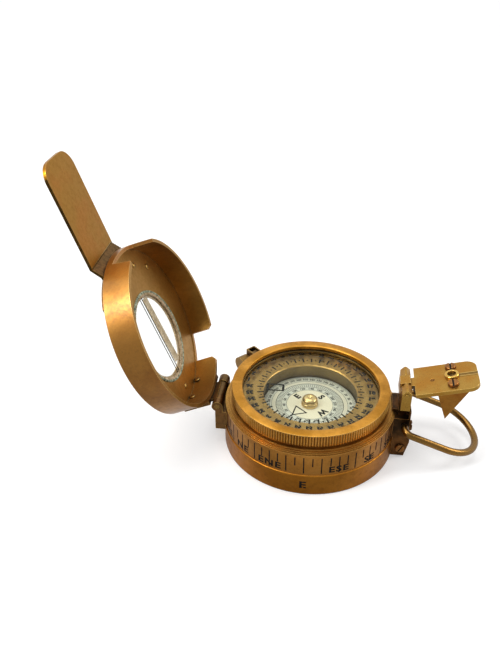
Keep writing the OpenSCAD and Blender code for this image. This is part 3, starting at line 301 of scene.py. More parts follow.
POINTS = ("N", "NNE", "NE", "ENE", "E", "ESE", "SE", "SSE", "S", "SSW", "SW", "WSW", "W", "WNW", "NW", "NNW")
POINT_STEP = math.radians(22.5)
LETTER_H = 2.65 * MM
LETTER_Z = CAP_H + 2.2 * MM
TICK_W = 0.42 * MM
LONG_TICK, SHORT_TICK = (0.6, 7.4), (3.7, 7.3)  # from and to, in mm above the cap's rim
HAND_CUT = 0.25 * MM  # how far a mark strays, as it was cut by hand
STRAY_SEED = 1
noise.seed_set(STRAY_SEED)  # without it the marks would stray another way on each run
CUT_LETTERS = {"bold": 0.03, "wide": 1.25}
scale_marks = bmesh.new()
for i, point in enumerate(POINTS):
    bearing = math.pi + i * POINT_STEP
    if len(point) > 1:
        letters = lettering(point, LETTER_H, spread=1.18, **CUT_LETTERS)
        wrap(letters, BAND_R, bearing, LETTER_Z)
        gather(scale_marks, letters, UPRIGHT)
    for quarter in range(4):
        turn = bearing + quarter * POINT_STEP / 4
        low, high = (LONG_TICK, SHORT_TICK)[quarter % 2]
        stray = noise.noise_vector(Vector((1.7 * i, 2.3 * quarter, 0.5))) * HAND_CUT
        tick = bar(TICK_W + 0.3 * stray.z, (high - low) * MM + stray.x)
        bmesh.ops.rotate(tick, matrix=Matrix.Rotation(stray.y / (6 * MM), 3, "Z"), verts=tick.verts)
        wrap(tick, BAND_R, turn + 0.5 * stray.z / BAND_R, CAP_H + (low + high) / 2 * MM + 0.5 * stray.y)
        gather(scale_marks, tick, UPRIGHT)
cut_black = black_fill("cut_black", "#141210", 0.6, fade=0.3)
piece("scale_marks", scale_marks, cut_black, "case")

CAP_LETTER_H = 3 * MM
cap_letters = bmesh.new()
for i in range(0, len(POINTS), 4):
    letters = lettering(POINTS[i], CAP_LETTER_H, **CUT_LETTERS)
    wrap(letters, CAP_R, math.pi + i * POINT_STEP, CAP_H / 2 + 0.1 * MM)
    gather(cap_letters, letters, UPRIGHT)
piece("cap_letters", cap_letters, cut_black, "case")

# The bowl is a drawn brass cup hung in the barrel, with a flat brass flange round its mouth that
# the dial's marks stand over. Inside they are dull grey brown, out of reach of any cloth.
# The flange is tan, its lip is painted paler as the highlight along its rounded edge, and the wall above it
# is as dull as the bowl.
bowl_brass = aged_brass("bowl_brass", "#8A7650", "#9A845A", "#C9A868", "#5A4C34", satin=0.36, spots=0.2,
                        depth=0.5, lay=UPRIGHT)
ROOM_LOW, ROOM_R = 18.2 * MM, 25.2 * MM  # the barrel's inside above the flange
dial_brass = aged_brass("dial_brass", "#AC8C56", "#B8965A", "#E4BC72", "#6E5836", satin=0.42, spots=0.25,
                        depth=0.5, lay=UPRIGHT, line=0.15)
lip_brass_highlit = aged_brass("lip_brass_highlit", "#B8925A", "#C49C5C", "#E8C880", "#7A5C2C", satin=0.34, spots=0.15,
                       depth=0.2, lay=UPRIGHT)
room_brass = aged_brass("room_brass", "#8E7852", "#988058", "#C8A668", "#6E5836", satin=0.45, spots=0.15,
                        depth=0.02, lay=UPRIGHT)
refinish(barrel, room_brass, lambda middle: middle.z > ROOM_LOW and math.hypot(middle.x, middle.y) < ROOM_R)
bowl = eased("compass_bowl", bowl_brass)
flange = eased("dial_flange", dial_brass, edge=0.45 * MM)
FLANGE_BORE_R, FLANGE_LIP_R = 15 * MM, 17.6 * MM
refinish(flange, lip_brass_highlit, lambda middle: FLANGE_BORE_R < math.hypot(middle.x, middle.y) < FLANGE_LIP_R)
pivot = eased("pivot_post", bowl_brass, edge=0.04 * MM)

# The card is a thin aluminium disc faced with white enamel and printed. Two bar magnets are fixed
# below it and a brass cap over its jewel, and the whole balances on the post's point.
CARD_NORTH = math.radians(229.5)
CARD_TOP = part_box("card_disc")[1].z


def enamel(name):
    """Stove enamel on a disc: smooth and faintly glossy, cream at the heart where it is plain,
    cooler where the figures run, with a soft yellowing in patches."""
    material, tree, shader = new_finish(name)
    where = add(tree, "ShaderNodeTexCoord").outputs["Object"]
    parts = add(tree, "ShaderNodeSeparateXYZ", {"Vector": where})
    across = add(tree, "ShaderNodeCombineXYZ", {"X": parts.outputs["X"], "Y": parts.outputs["Y"]})
    radius = add(tree, "ShaderNodeVectorMath", {0: across.outputs[0]}, operation="LENGTH")
    heart = add(tree, "ShaderNodeMath", {0: radius.outputs["Value"], 1: 8.4 * MM}, operation="LESS_THAN")
    ring = add(tree, "ShaderNodeMath", {0: radius.outputs["Value"], 1: 13.15 * MM, 2: 0.75 * MM},
               operation="COMPARE")
    yellow = add(tree, "ShaderNodeTexNoise", {"Vector": where, "Scale": 1 / (6 * MM), "Detail": 3})
    cool = add(tree, "ShaderNodeMix", {0: ring.outputs[0], 6: linear("#DCDED8"), 7: linear("#E7E4D8")},
               data_type="RGBA")
    tone = add(tree, "ShaderNodeMix", {0: heart.outputs[0], 6: cool.outputs[2], 7: linear("#F2ECDA")},
               data_type="RGBA")
    stain = add(tree, "ShaderNodeMapRange", {0: yellow.outputs["Fac"], 1: 0.45, 2: 0.75, 4: 0.35})
    tone = add(tree, "ShaderNodeMix", {0: stain.outputs[0], 6: tone.outputs[2], 7: linear("#DDD3B8")},
               data_type="RGBA")
    bump = add(tree, "ShaderNodeBump",
               {"Strength": 0.1, "Distance": 0.02 * MM, "Height": yellow.outputs["Fac"]})
    shader.inputs["Roughness"].default_value = 0.4
    shader.inputs["Specular IOR Level"].default_value = 0.3
    tree.links.new(tone.outputs[2], shader.inputs["Base Color"])
    tree.links.new(bump.outputs[0], shader.inputs["Normal"])
    return material


card = eased("card_disc", enamel("card_enamel"), edge=0.05 * MM)
CARD_INK_Z = CARD_TOP + LETTER_DEPTH / 2
card_ink = bmesh.new()
card_points = bmesh.new()


def on_card(turn, distance, spin=0.0):
    """Where something printed on the card lies: a bearing, a distance out, and a turn of its own."""
    return (Matrix.Rotation(turn, 4, "Z") @ Matrix.Translation((distance, 0, CARD_INK_Z))
            @ Matrix.Rotation(spin, 4, "Z"))


UPWARD = -math.pi / 2  # figures and letters read towards the rim
NORTH_SIDE, NORTH_FOOT = 5.2 * MM, 4.4 * MM
NORTH_INNER_R = NORTH_SIDE / math.sqrt(12)
for i, point in enumerate("NESW"):
    turn = CARD_NORTH - i * math.pi / 2
    if point == "N":
        for spin in (0, 2 * math.pi / 3, 4 * math.pi / 3):
            triangle = on_card(turn, NORTH_FOOT + NORTH_INNER_R, spin)
            side = bar(0.48 * MM, NORTH_SIDE + 0.42 * MM)
            gather(card_points, side, triangle @ Matrix.Translation((-NORTH_INNER_R, 0, 0)))
        gather(card_points, bar(3 * MM, 0.4 * MM), on_card(turn, 10.3 * MM))
    else:
        gather(card_points, lettering(point, 2.8 * MM, bold=0.05), on_card(turn, 6.3 * MM, UPWARD))
for count, start, height, distance in (
        (18, CARD_NORTH, 1.1 * MM, 9.35 * MM), (36, CARD_NORTH + math.pi, 1.05 * MM, 15 * MM)):
    for i in range(count):
        figures = lettering(str(360 // count * i), height, bold=0.03)
        gather(card_ink, figures, on_card(start - i * 2 * math.pi / count, distance, UPWARD))
INNER_TICKS, INNER_TICKS_AT = 90, 11.3 * MM
for i in range(INNER_TICKS):
    tick = bar(1.5 * MM, 0.17 * MM)
    gather(card_ink, tick, on_card(i * math.radians(360 / INNER_TICKS), INNER_TICKS_AT))
OUTER_TICKS, OUTER_TICKS_AT = 180, 16.1 * MM
for i in range(OUTER_TICKS):
    tick = bar((0.9 if i % 5 == 0 else 0.55) * MM, 0.13 * MM)
    gather(card_ink, tick, on_card(i * math.radians(360 / OUTER_TICKS), OUTER_TICKS_AT))
# The small print has faded to grey, and the four points are still black.
card_print = black_fill("card_print", "#33373A", 0.5)
piece("card_ink", card_ink, card_print, "card")
card_black = black_fill("card_black", "#17181A", 0.5, fade=0.2)
piece("card_points", card_points, card_black, "card")


def spun(outline, steps):
    """A turned shape: its half section, as distances from the axis and heights, carried once round."""
    shape = bmesh.new()
    corners = [shape.verts.new((out, 0, up)) for out, up in outline]
    loop = [shape.edges.new((corners[i], corners[(i + 1) % len(corners)])) for i in range(len(corners))]
    bmesh.ops.spin(
        shape, geom=corners + loop, cent=(0, 0, 0), axis=(0, 0, 1), angle=2 * math.pi,
        steps=steps, use_merge=True, use_normal_flip=False, use_duplicate=False)
    bmesh.ops.remove_doubles(shape, verts=shape.verts, dist=0.0001 * MM)
    bmesh.ops.recalc_face_normals(shape, faces=shape.faces)
    return shape


def circle_line(radius, width, z):
    """A thin printed circle, closed on every side."""
    half, thick = width / 2, LETTER_DEPTH / 2
    return spun((
        (radius - half, z - thick), (radius + half, z - thick),
        (radius + half, z + thick), (radius - half, z + thick)), 96)


card_circles = bmesh.new()
for radius, width in ((8.45, 0.12), (10.3, 0.12), (12.3, 0.2), (13.9, 0.1), (16.6, 0.1)):
    gather(card_circles, circle_line(radius * MM, width * MM, CARD_INK_Z), UPRIGHT)
piece("card_circles", card_circles, card_print, "card")

# The cap is polished brass, pale and bright against the dull flange. Its jewel is red corundum,
# glossy and a little clouded, and the magnets are dull blue grey steel.
cap_brass = aged_brass("cap_brass", "#D0A652", "#DCB560", "#F3D68E", "#6E5020", satin=0.2, spots=0.1,
                       depth=0.4, lay=UPRIGHT)
CAP_FOOT, CAP_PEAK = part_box("card_cap")
DOME_R = CAP_PEAK.x
DOME_H = CAP_PEAK.z - CAP_FOOT.z
JEWEL_BORE_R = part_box("jewel_cup")[1].x + 0.05 * MM
dome = spun([(out * DOME_R, CAP_FOOT.z + up * DOME_H) for out, up in (
    (JEWEL_BORE_R / DOME_R, 0), (0.96, 0), (1, 0.04), (1, 0.3), (0.97, 0.36), (0.92, 0.4),
    (0.91, 0.46), (0.93, 0.5), (0.93, 0.62), (0.87, 0.78), (0.74, 0.9), (0.56, 0.97), (0.36, 1),
    (0.27, 0.99), (0.2, 0.93), (0.1, 0.87), (0, 0.86), (0, 0.6), (JEWEL_BORE_R / DOME_R, 0.6))], 64)
dome_brass = aged_brass("dome_brass", "#DCC08A", "#E4CA98", "#F6E2B4", "#8A6C38", satin=0.3, spots=0.1,
                        depth=0.25, lay=UPRIGHT)
card_cap = piece("card_cap.turned", dome, dome_brass, "card", "card_cap")
jewel, ruby, ruby_shader = new_finish("ruby_cup")
ruby_cloud = add(ruby, "ShaderNodeTexNoise",
                 {"Scale": 1 / (0.8 * MM), "Vector": add(ruby, "ShaderNodeTexCoord").outputs["Object"]})
ruby_tone = add(ruby, "ShaderNodeMix",
                {0: ruby_cloud.outputs["Fac"], 6: linear("#7E1F2C"), 7: linear("#A8384A")}, data_type="RGBA")
ruby.links.new(ruby_tone.outputs[2], ruby_shader.inputs["Base Color"])
ruby_shader.inputs["Roughness"].default_value = 0.12
ruby_shader.inputs["IOR"].default_value = 1.76


def dress(node, material):
    """Gives a CAD piece its finish where its own shape is right as it is."""
    finishes = frame["nodes"][node].data.materials
    finishes.clear()
    finishes.append(material)


dress("jewel_cup", jewel)
magnet_steel = aged_brass("magnet_steel", "#5A5E62", "#6A6C6E", "#9A9C9E", "#33302C", satin=0.4)
magnets = eased("card_magnets", magnet_steel)

# The bezel is a turned brass ring, fluted round its side for the fingers. It snaps over the neck
# on a split spring ring and holds its glass against a thin ring below.
BEZEL_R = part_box("bezel_ring")[1].x
BEZEL_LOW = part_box("bezel_ring")[0].z
BEZEL_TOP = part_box("bezel_ring")[1].z
FLUTES = 186
FLUTE_STEPS = 6
FLUTE_DEPTH = 0.4 * MM
FLUTE_SHAPE = (0, 0, 0.1, 0.8, 1, 0.8)  # how deep each step of a flute lies, as a share
FLUTE_TOP = BEZEL_TOP - 0.2 * MM
# The crests of the flutes are rubbed yellow. The grooves between them are a duller brass, darkened in their
# hollows partly as dirt and partly as painted shade.
bezel_brass = aged_brass("bezel_brass", "#AE7826", "#D2963C", "#F4CC7C", "#4A3014", satin=0.33, depth=0.5,
                         wear_and_glint=0.9, lay=UPRIGHT)
groove_dirt_and_shade = aged_brass("groove_dirt_and_shade", "#A87E3C", "#BA8E48", "#C8963E", "#3A2814", satin=0.45, lay=UPRIGHT)
NECK_BORE_R = 26.3 * MM
GLASS_SEAT_R = 25.7 * MM
LIP_R = 24.5 * MM
GLASS_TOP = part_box("bezel_glass")[1].z
RING_SEAT_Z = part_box("glass_retainer")[0].z
bezel = spun((
    (NECK_BORE_R, BEZEL_LOW), (BEZEL_R - 0.15 * MM, BEZEL_LOW), (BEZEL_R, BEZEL_LOW + 0.15 * MM),
    (BEZEL_R, FLUTE_TOP - 0.15 * MM), (BEZEL_R, FLUTE_TOP), (BEZEL_R - 0.1 * MM, BEZEL_TOP - 0.05 * MM),
    (BEZEL_R - 0.3 * MM, BEZEL_TOP), (LIP_R + 0.9 * MM, BEZEL_TOP),
    (LIP_R + 0.3 * MM, BEZEL_TOP - 0.05 * MM), (LIP_R + 0.08 * MM, BEZEL_TOP - 0.15 * MM),
    (LIP_R, BEZEL_TOP - 0.3 * MM), (LIP_R, GLASS_TOP), (GLASS_SEAT_R, GLASS_TOP),
    (GLASS_SEAT_R, RING_SEAT_Z), (NECK_BORE_R, RING_SEAT_Z)), FLUTE_STEPS * FLUTES)
for vert in bezel.verts:
    distance = math.hypot(vert.co.x, vert.co.y)
    if vert.co.z < FLUTE_TOP - 0.05 * MM and distance > BEZEL_R - 0.2 * MM:
        step = round(math.atan2(vert.co.y, vert.co.x) / (2 * math.pi) * FLUTE_STEPS * FLUTES) % FLUTE_STEPS
        shrink = 1 - FLUTE_DEPTH * FLUTE_SHAPE[step] / distance
        vert.co.x *= shrink
        vert.co.y *= shrink
bezel_ring = piece("bezel_ring.fluted", bezel, bezel_brass, "bezel", "bezel_ring")
refinish(bezel_ring, groove_dirt_and_shade, lambda middle: (
    middle.z < FLUTE_TOP - 0.1 * MM
    and BEZEL_R - 0.5 * MM < math.hypot(middle.x, middle.y) < BEZEL_R - 0.22 * MM))
# Brass that no hand reaches goes nearly black.
dark_brass = aged_brass("dark_brass", "#54402A", "#6E5232", "#A8854C", "#241A10", satin=0.42)
snap_ring = eased("bezel_snap_ring", dark_brass)
retainer = eased("glass_retainer", room_brass)


def window_glass(name, shine, tint):
    """Old plate glass: nearly clear, a trace of colour, a soft grey sheen at a low angle and
    faint smears that spread it."""
    material, tree, shader = new_finish(name)
    tree.nodes.remove(shader)
    where = add(tree, "ShaderNodeTexCoord").outputs["Object"]
    smear = add(tree, "ShaderNodeTexNoise", {"Vector": where, "Scale": 1 / (5 * MM), "Detail": 4})
    rough = add(tree, "ShaderNodeMapRange", {0: smear.outputs["Fac"], 3: 0.02, 4: 0.12})
    graze = add(tree, "ShaderNodeFresnel", {"IOR": 1.5})
    share = add(tree, "ShaderNodeMath", {0: graze.outputs[0], 1: shine}, operation="MULTIPLY")
    clear = add(tree, "ShaderNodeBsdfTransparent", {"Color": linear(tint)})
    sheen = add(tree, "ShaderNodeBsdfGlossy", {"Roughness": rough.outputs[0]})
    both = add(tree, "ShaderNodeMixShader", {0: share.outputs[0], 1: clear.outputs[0], 2: sheen.outputs[0]})
    tree.links.new(both.outputs[0], tree.nodes["Material Output"].inputs["Surface"])
    return material


dial_glass = window_glass("dial_glass", 0.04, "#F8F9F4")
dress("bezel_glass", dial_glass)

# The marks are printed on the underside of the bezel's glass, so that they turn with it and throw
# a soft shadow on the flange below.
DIAL_NUMBERS = 36
DIAL_STEP = 2 * math.pi / DIAL_NUMBERS
DIAL_ZERO = math.radians(182.2)
DIAL_INK_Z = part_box("bezel_glass")[0].z - LETTER_DEPTH / 2 - 0.01 * MM
FIGURE_H = 2.2 * MM
FIGURES_END = 23.3 * MM
DASH_AT, DASH_LONG, DASH_WIDE, DOT_R = 18.1 * MM, 2.3 * MM, 0.58 * MM, 0.34 * MM
dial_marks = bmesh.new()


def on_dial(turn, distance):
    """Where a mark on the glass lies: a bearing and a distance out from the centre."""
    return Matrix.Rotation(turn, 4, "Z") @ Matrix.Translation((distance, 0, DIAL_INK_Z))


for number in range(1, DIAL_NUMBERS + 1):
    turn = DIAL_ZERO - number * DIAL_STEP
    figures = lettering(str(number), FIGURE_H, bold=0.07)
    reach = max(v.co.x for v in figures.verts)
    gather(dial_marks, figures, on_dial(turn, FIGURES_END - reach))
    gather(dial_marks, bar(DASH_LONG, DASH_WIDE), on_dial(turn, DASH_AT))
    dot = bmesh.new()
    bmesh.ops.create_cone(
        dot, segments=10, radius1=DOT_R, radius2=DOT_R, depth=LETTER_DEPTH, cap_ends=True)
    gather(dial_marks, dot, on_dial(turn + DIAL_STEP / 2, DASH_AT))
FRAME_IN, FRAME_OUT, FRAME_HALF, FRAME_LINE = 9.5 * MM, 15.8 * MM, 1.75 * MM, 0.62 * MM
FRAME_END = (FRAME_OUT - FRAME_IN - FRAME_LINE) / 2
for side in (-1, 1):
    middle = on_dial(DIAL_ZERO - DIAL_NUMBERS * DIAL_STEP, (FRAME_IN + FRAME_OUT) / 2)
    long_side, short_side = bar(FRAME_OUT - FRAME_IN, FRAME_LINE), bar(FRAME_LINE * 1.4, 2 * FRAME_HALF)
    gather(dial_marks, long_side, middle @ Matrix.Translation((0, side * FRAME_HALF, 0)))
    gather(dial_marks, short_side, middle @ Matrix.Translation((side * FRAME_END, 0, 0)))
dial_print = black_fill("dial_print", "#0C0D0E", 0.45, fade=0.08)
piece("dial_marks", dial_marks, dial_print, "bezel")

# The lid's hinge is two thick brass leaves on one pin, riveted to the case and the lid and never
# polished, so they have gone dark.
hinge_brass = aged_brass("hinge_brass", "#6A5230", "#7E5A34", "#D8AC5C", "#2A1D10", satin=0.34, wear_and_glint=1.0,
                         spots=0.6)
rivet_brass = aged_brass("rivet_brass", "#8A6A3A", "#A07C42", "#E8C67A", "#3A2814", satin=0.3)
for node in ("case_hinge_leaf", "lid_hinge_leaf"):
    eased(node, hinge_brass, edge=0.18 * MM)
eased("lid_hinge_pin", rivet_brass)
for node in ("case_hinge_rivets", "lid_hinge_rivets", "tongue_rivets"):
    eased(node, rivet_brass, edge=0.05 * MM)

# The lid is a shallow spun brass cup with a round window, lacquered outside once and rubbed since.
# Its skirt is cut away for the prism and for the clamp. It stands open at 114 degrees.
HINGE_AT = Vector(next(j for j in frame["joints"] if j["name"] == "lid_hinge")["pos_m"])
LID_OPEN = math.radians(-114)
on_lid = Matrix.Translation(HINGE_AT) @ Matrix.Rotation(LID_OPEN, 4, "Y") @ Matrix.Translation(-HINGE_AT)
CLOSED = on_lid.inverted()
# What is left of the lacquer gives the outside a soft second shine. The inside has none.
lid_brass = aged_brass("lid_brass", "#A56C22", "#B87F30", "#E6BC70", "#3E2A14", satin=0.4, lay=CLOSED,
                       relief=0.45, film=0.65)
inside_brass = aged_brass("inside_brass", "#9E7436", "#AC8040", "#E6C27A", "#4E3A20", satin=0.38,
                          spots=0.3, lay=CLOSED)
SKIRT_LOW = min((CLOSED @ vert.co).z for vert in frame["nodes"]["lid_shell"].data.vertices)
NOTCH_SIDES = (128, 150)  # bearings of the clamp's notch, in degrees
NOTCH_CORNER = 1.5 * MM


def notch_corners(point):
    """Takes off the two sharp corners of the notch that clears the clamp."""
    shut = CLOSED @ point
    bearing = math.degrees(math.atan2(shut.y, shut.x))
    if shut.z < SKIRT_LOW + 0.05 * MM and min(abs(bearing - side) for side in NOTCH_SIDES) < 0.4:
        return on_lid @ (shut + Vector((0, 0, NOTCH_CORNER)))
    return point


lid = eased("lid_shell", lid_brass, edge=0.12 * MM, filed=notch_corners)
LID_INSIDE_R = CAP_R - 1.6 * MM
LID_INSIDE_Z = 26.95 * MM


def inside_lid(middle):
    """Whether a point of the open lid lies within the cup, as the closed lid would have it."""
    shut = CLOSED @ middle
    return math.hypot(shut.x, shut.y) < LID_INSIDE_R and shut.z < LID_INSIDE_Z


refinish(lid, inside_brass, inside_lid)
lid_glass = window_glass("lid_glass", 0.12, "#FBFCFB")
dress("lid_glass", lid_glass)

# The glass is puttied in from the inside. The putty's slope has gone tan, and a bead of green
# verdigris has grown where it meets the brass. A card strip and two hairlines cross the glass.
WINDOW_AT = Vector((-3.2 * MM, 0, 26.9 * MM))


def dry_crust(name, light, dark, size):
    """Something dull and crumbly, such as putty, verdigris or card: two tones in grains of a size."""
    material, tree, shader = new_finish(name)
    where = add(tree, "ShaderNodeTexCoord").outputs["Object"]
    grains = add(tree, "ShaderNodeTexNoise",
                 {"Vector": where, "Scale": 1 / (size * MM), "Detail": 4, "Roughness": 0.7})
    share = add(tree, "ShaderNodeMapRange", {0: grains.outputs["Fac"], 1: 0.4, 2: 0.62})
    tone = add(tree, "ShaderNodeMix", {0: share.outputs[0], 6: linear(light), 7: linear(dark)},
               data_type="RGBA")
    bump = add(tree, "ShaderNodeBump",
               {"Strength": 0.4, "Distance": 0.05 * MM, "Height": grains.outputs["Fac"]})
    shader.inputs["Roughness"].default_value = 0.75
    shader.inputs["Specular IOR Level"].default_value = 0.2
    tree.links.new(tone.outputs[2], shader.inputs["Base Color"])
    tree.links.new(bump.outputs[0], shader.inputs["Normal"])
    return material


verdigris = dry_crust("verdigris", "#B6BCA0", "#485040", 0.9)
putty = dry_crust("putty", "#CCB494", "#8A7450", 1.5)
BEAD_SECTION = (
    (15.25, 0.04), (15.35, -0.06), (16.1, -0.3), (16.2, -0.42),
    (16.45, -0.52), (16.75, -0.42), (16.9, -0.2), (16.95, 0.04))
BEAD_SLOPE_R = 16.12 * MM
LUMP_SIZE, LUMP_H, LUMPS_BELOW = 0.7 * MM, 0.12 * MM, -0.25 * MM
bead = spun([(out * MM, up * MM) for out, up in BEAD_SECTION], 180)
for vert in bead.verts:
    lump = noise.noise(vert.co / LUMP_SIZE) * LUMP_H
    if vert.co.z < LUMPS_BELOW:
        vert.co.z += lump
bmesh.ops.transform(bead, matrix=on_lid @ Matrix.Translation(WINDOW_AT), verts=bead.verts)
glass_bead = piece("glass_bead", bead, verdigris, "lid", "lid_glass_ring")
ledge_putty = dry_crust("ledge_putty", "#D8BE98", "#A88C66", 2)
SEAT_R, SEAT_LOW, SEAT_HIGH = 15.8 * MM, 26.95 * MM, 28.05 * MM


def on_ledge(middle):
    """Whether a point of the lid lies in the window's bore, on or over the ledge for the glass."""
    shut = CLOSED @ middle
    return SEAT_LOW < shut.z < SEAT_HIGH and (shut - WINDOW_AT).xy.length < SEAT_R


refinish(lid, ledge_putty, on_ledge)


def on_slope(middle):
    """Whether a point of the bead lies on the putty's slope."""
    shut = CLOSED @ middle - WINDOW_AT
    return math.hypot(shut.x, shut.y) < BEAD_SLOPE_R


refinish(glass_bead, putty, on_slope)
# The strip is buff and matt, like old card.
strip_card = dry_crust("strip_card", "#E6D2B2", "#C4AC86", 3)
eased("sight_strip", strip_card, edge=0.03 * MM)
HAIR_LONG, HAIR_WIDE, HAIR_APART, HAIR_DOWN = 30.6 * MM, 0.24 * MM, 0.75 * MM, 0.11 * MM
HAIR_TURN = math.radians(4.4)
HAIR_H = 6  # as many times as thick as the letters
hairlines = bmesh.new()
for side in (-1, 1):
    gather(hairlines, bar(HAIR_LONG, HAIR_WIDE), (
        on_lid @ Matrix.Translation(WINDOW_AT) @ Matrix.Rotation(HAIR_TURN, 4, "Z")
        @ Matrix.Translation((0, side * HAIR_APART, -HAIR_DOWN)) @ Matrix.Diagonal((1, 1, HAIR_H, 1))))
piece("hairlines", hairlines, cut_black, "lid")

# The tongue is a stiff brass strip riveted outside the lid and bent outwards, to lift the lid by. It is
# bright where thumbs touch it. Its root and bend, its near edge and its scored fold are painted dark as the
# shade there, and the fold is drawn as a flat dark bar.
tongue_brass = aged_brass("tongue_brass", "#A0701A", "#A66C18", "#DDAE62", "#4A3017", satin=0.36, spots=0.3)
painted_shade_brass = aged_brass("painted_shade_brass", "#6E5028", "#80582C", "#C89A50", "#1C130A", satin=0.42, spots=0.9)
deep_shade_brass = aged_brass("deep_shade_brass", "#54401C", "#6A4C20", "#B08A44", "#150E06", satin=0.5, spots=1.0)
tongue = eased("lid_tongue", tongue_brass, edge=0.15 * MM)
FOLD_AT = Vector((31.7 * MM, 0, 30.3 * MM))
TONGUE_HALF = 10.5 * MM
TONGUE_EDGE = 0.18 * MM
TONGUE_SLOPE = Matrix.Rotation(math.radians(4.6), 4, "Y")
# Painted shade: the root and bend of the tongue are painted dark.
refinish(tongue, painted_shade_brass, lambda middle: (CLOSED @ middle).x < FOLD_AT.x + 0.05 * MM)
# Painted shade: the tongue's near edge is painted nearly black.
refinish(tongue, deep_shade_brass, lambda middle: (
    (CLOSED @ middle).y < TONGUE_EDGE - TONGUE_HALF and (CLOSED @ middle).x > FOLD_AT.x))
on_fold = on_lid @ Matrix.Translation(FOLD_AT) @ TONGUE_SLOPE
# Painted shade: the scored fold is a flat dark bar, with a brass burr beside it.
for name, away, width, finish in (
        ("fold_line", 0.3 * MM, 0.5 * MM, deep_shade_brass), ("fold_burr", 0.68 * MM, 0.2 * MM, rivet_brass)):
    scored = bmesh.new()
    across = bar(width, 2 * TONGUE_HALF - 0.5 * MM)
    gather(scored, across, on_fold @ Matrix.Translation((away, 0, -0.01 * MM)))
    piece(name, scored, finish, "lid")

# The prism's bracket is a brass block screwed to the case from inside, with two side screws and a
# stop screw in front, all darkened, the screws a copper brown.
copper_brown = aged_brass("copper_brown", "#A06C38", "#8A5C30", "#D8A868", "#2E1C0E", satin=0.34)
bracket_brown = aged_brass("bracket_brown", "#2C2014", "#6E4A28", "#B88448", "#181008", satin=0.36,
                           wear_and_glint=0.9, spots=0.5)
eased("prism_bracket", bracket_brown, edge=0.16 * MM)
eased("slide_stop_screw", bracket_brown, edge=0.08 * MM)
for node in ("bracket_screws", "bracket_side_screws"):
    eased(node, copper_brown, edge=0.08 * MM)

# The slide, the folding plate and the prism's box are yellower brass, filed flat and scratched. Two copper
# brown screws hold the box under the plate, on either side of the eyepiece's cup. A sight slot runs from the
# cup to the plate's end, drawn as a flat bar on the plate painted darker, as the slot's shade, between two
# raised burrs.
olive_brass = aged_brass("olive_brass", "#B0883E", "#AC782C", "#EBCB78", "#4E3A18", satin=0.3, wear_and_glint=0.9,
                         spots=0.3)
box_brass = aged_brass("box_brass", "#986226", "#A2702E", "#D0A458", "#3A2610", satin=0.36)
eased("prism_slide", olive_brass, edge=0.16 * MM)
prism_plate = eased("prism_plate", olive_brass, edge=0.16 * MM)
prism_screws = eased("prism_screws", copper_brown, edge=0.08 * MM)
eased("prism_housing", box_brass, edge=0.12 * MM)
eased("prism_hinge_pin", olive_brass, edge=0.1 * MM)
eased("eye_lens_ring", cap_brass, edge=0.08 * MM)
FOLD_PIN = Vector(next(j for j in frame["joints"] if j["name"] == "prism_fold")["pos_m"])
PRISM_TILT = math.radians(15.2)
PLATE_TOP, PLATE_END = 0.28 * MM, 24.4 * MM
EYE_OUT, EYE_SIDE, EYE_R = 15.7 * MM, 0.4 * MM, 2.45 * MM
on_pin = Matrix.Translation(FOLD_PIN) @ Matrix.Rotation(-PRISM_TILT, 4, "Y")
on_plate = on_pin @ Matrix.Translation((0, EYE_SIDE, PLATE_TOP))
slot_dirt_and_shade = dry_crust("slot_dirt_and_shade", "#3C2A18", "#1A1008", 0.5)
DIMPLE_AT = Vector((9 * MM, -0.9 * MM, 0))
DIMPLE_R, DIMPLE_LIP = 0.9 * MM, 0.03 * MM
SCREW_SLOT_HALF, SCREW_SLOT_LOW, SCREW_SLOT_HIGH = 0.32 * MM, 0.4 * MM, 1.05 * MM


def in_dimple(middle):
    """Whether a point of the plate lies in the dimple of its catch."""
    spot = on_plate.inverted() @ middle - DIMPLE_AT
    return spot.length < DIMPLE_R and spot.z < -DIMPLE_LIP


def in_slot(middle):
    """Whether a point of the prism's screws lies in a driver's slot."""
    spot = on_plate.inverted() @ middle
    return abs(spot.x - EYE_OUT) < SCREW_SLOT_HALF and SCREW_SLOT_LOW < spot.z < SCREW_SLOT_HIGH


# Painted shade: the dimple of the plate's catch is painted dark, as the shade in its hollow.
refinish(prism_plate, painted_shade_brass, in_dimple)
# Dirt and painted shade: the driver's slots in the prism's screws are filled near black.
refinish(prism_screws, slot_dirt_and_shade, in_slot)
SLOT_HALF = 0.75 * MM
BURR_W, BURR_LIFT = 0.24 * MM, 0.03 * MM
BURR_H = 5  # as many times as thick as the letters
# Painted shade: the slot is a flat bar of darker brass on the plate, with no cut beneath it.
slot_shade_brass = aged_brass("slot_shade_brass", "#7E6230", "#8C6C36", "#C8A45C", "#3A2A12", satin=0.4)
slot_long = PLATE_END - EYE_OUT - EYE_R
slot_middle = on_plate @ Matrix.Translation(((PLATE_END + EYE_OUT + EYE_R) / 2, 0, 0))
sight_slot = bmesh.new()
gather(sight_slot, bar(slot_long, 2 * SLOT_HALF), slot_middle)
piece("sight_slot", sight_slot, slot_shade_brass, "prism")
slot_burrs = bmesh.new()
for side in (-1, 1):
    beside = slot_middle @ Matrix.Translation((0, side * SLOT_HALF, BURR_LIFT))
    gather(slot_burrs, bar(slot_long, BURR_W), beside @ Matrix.Diagonal((1, 1, BURR_H, 1)))
piece("slot_burrs", slot_burrs, cap_brass, "prism")
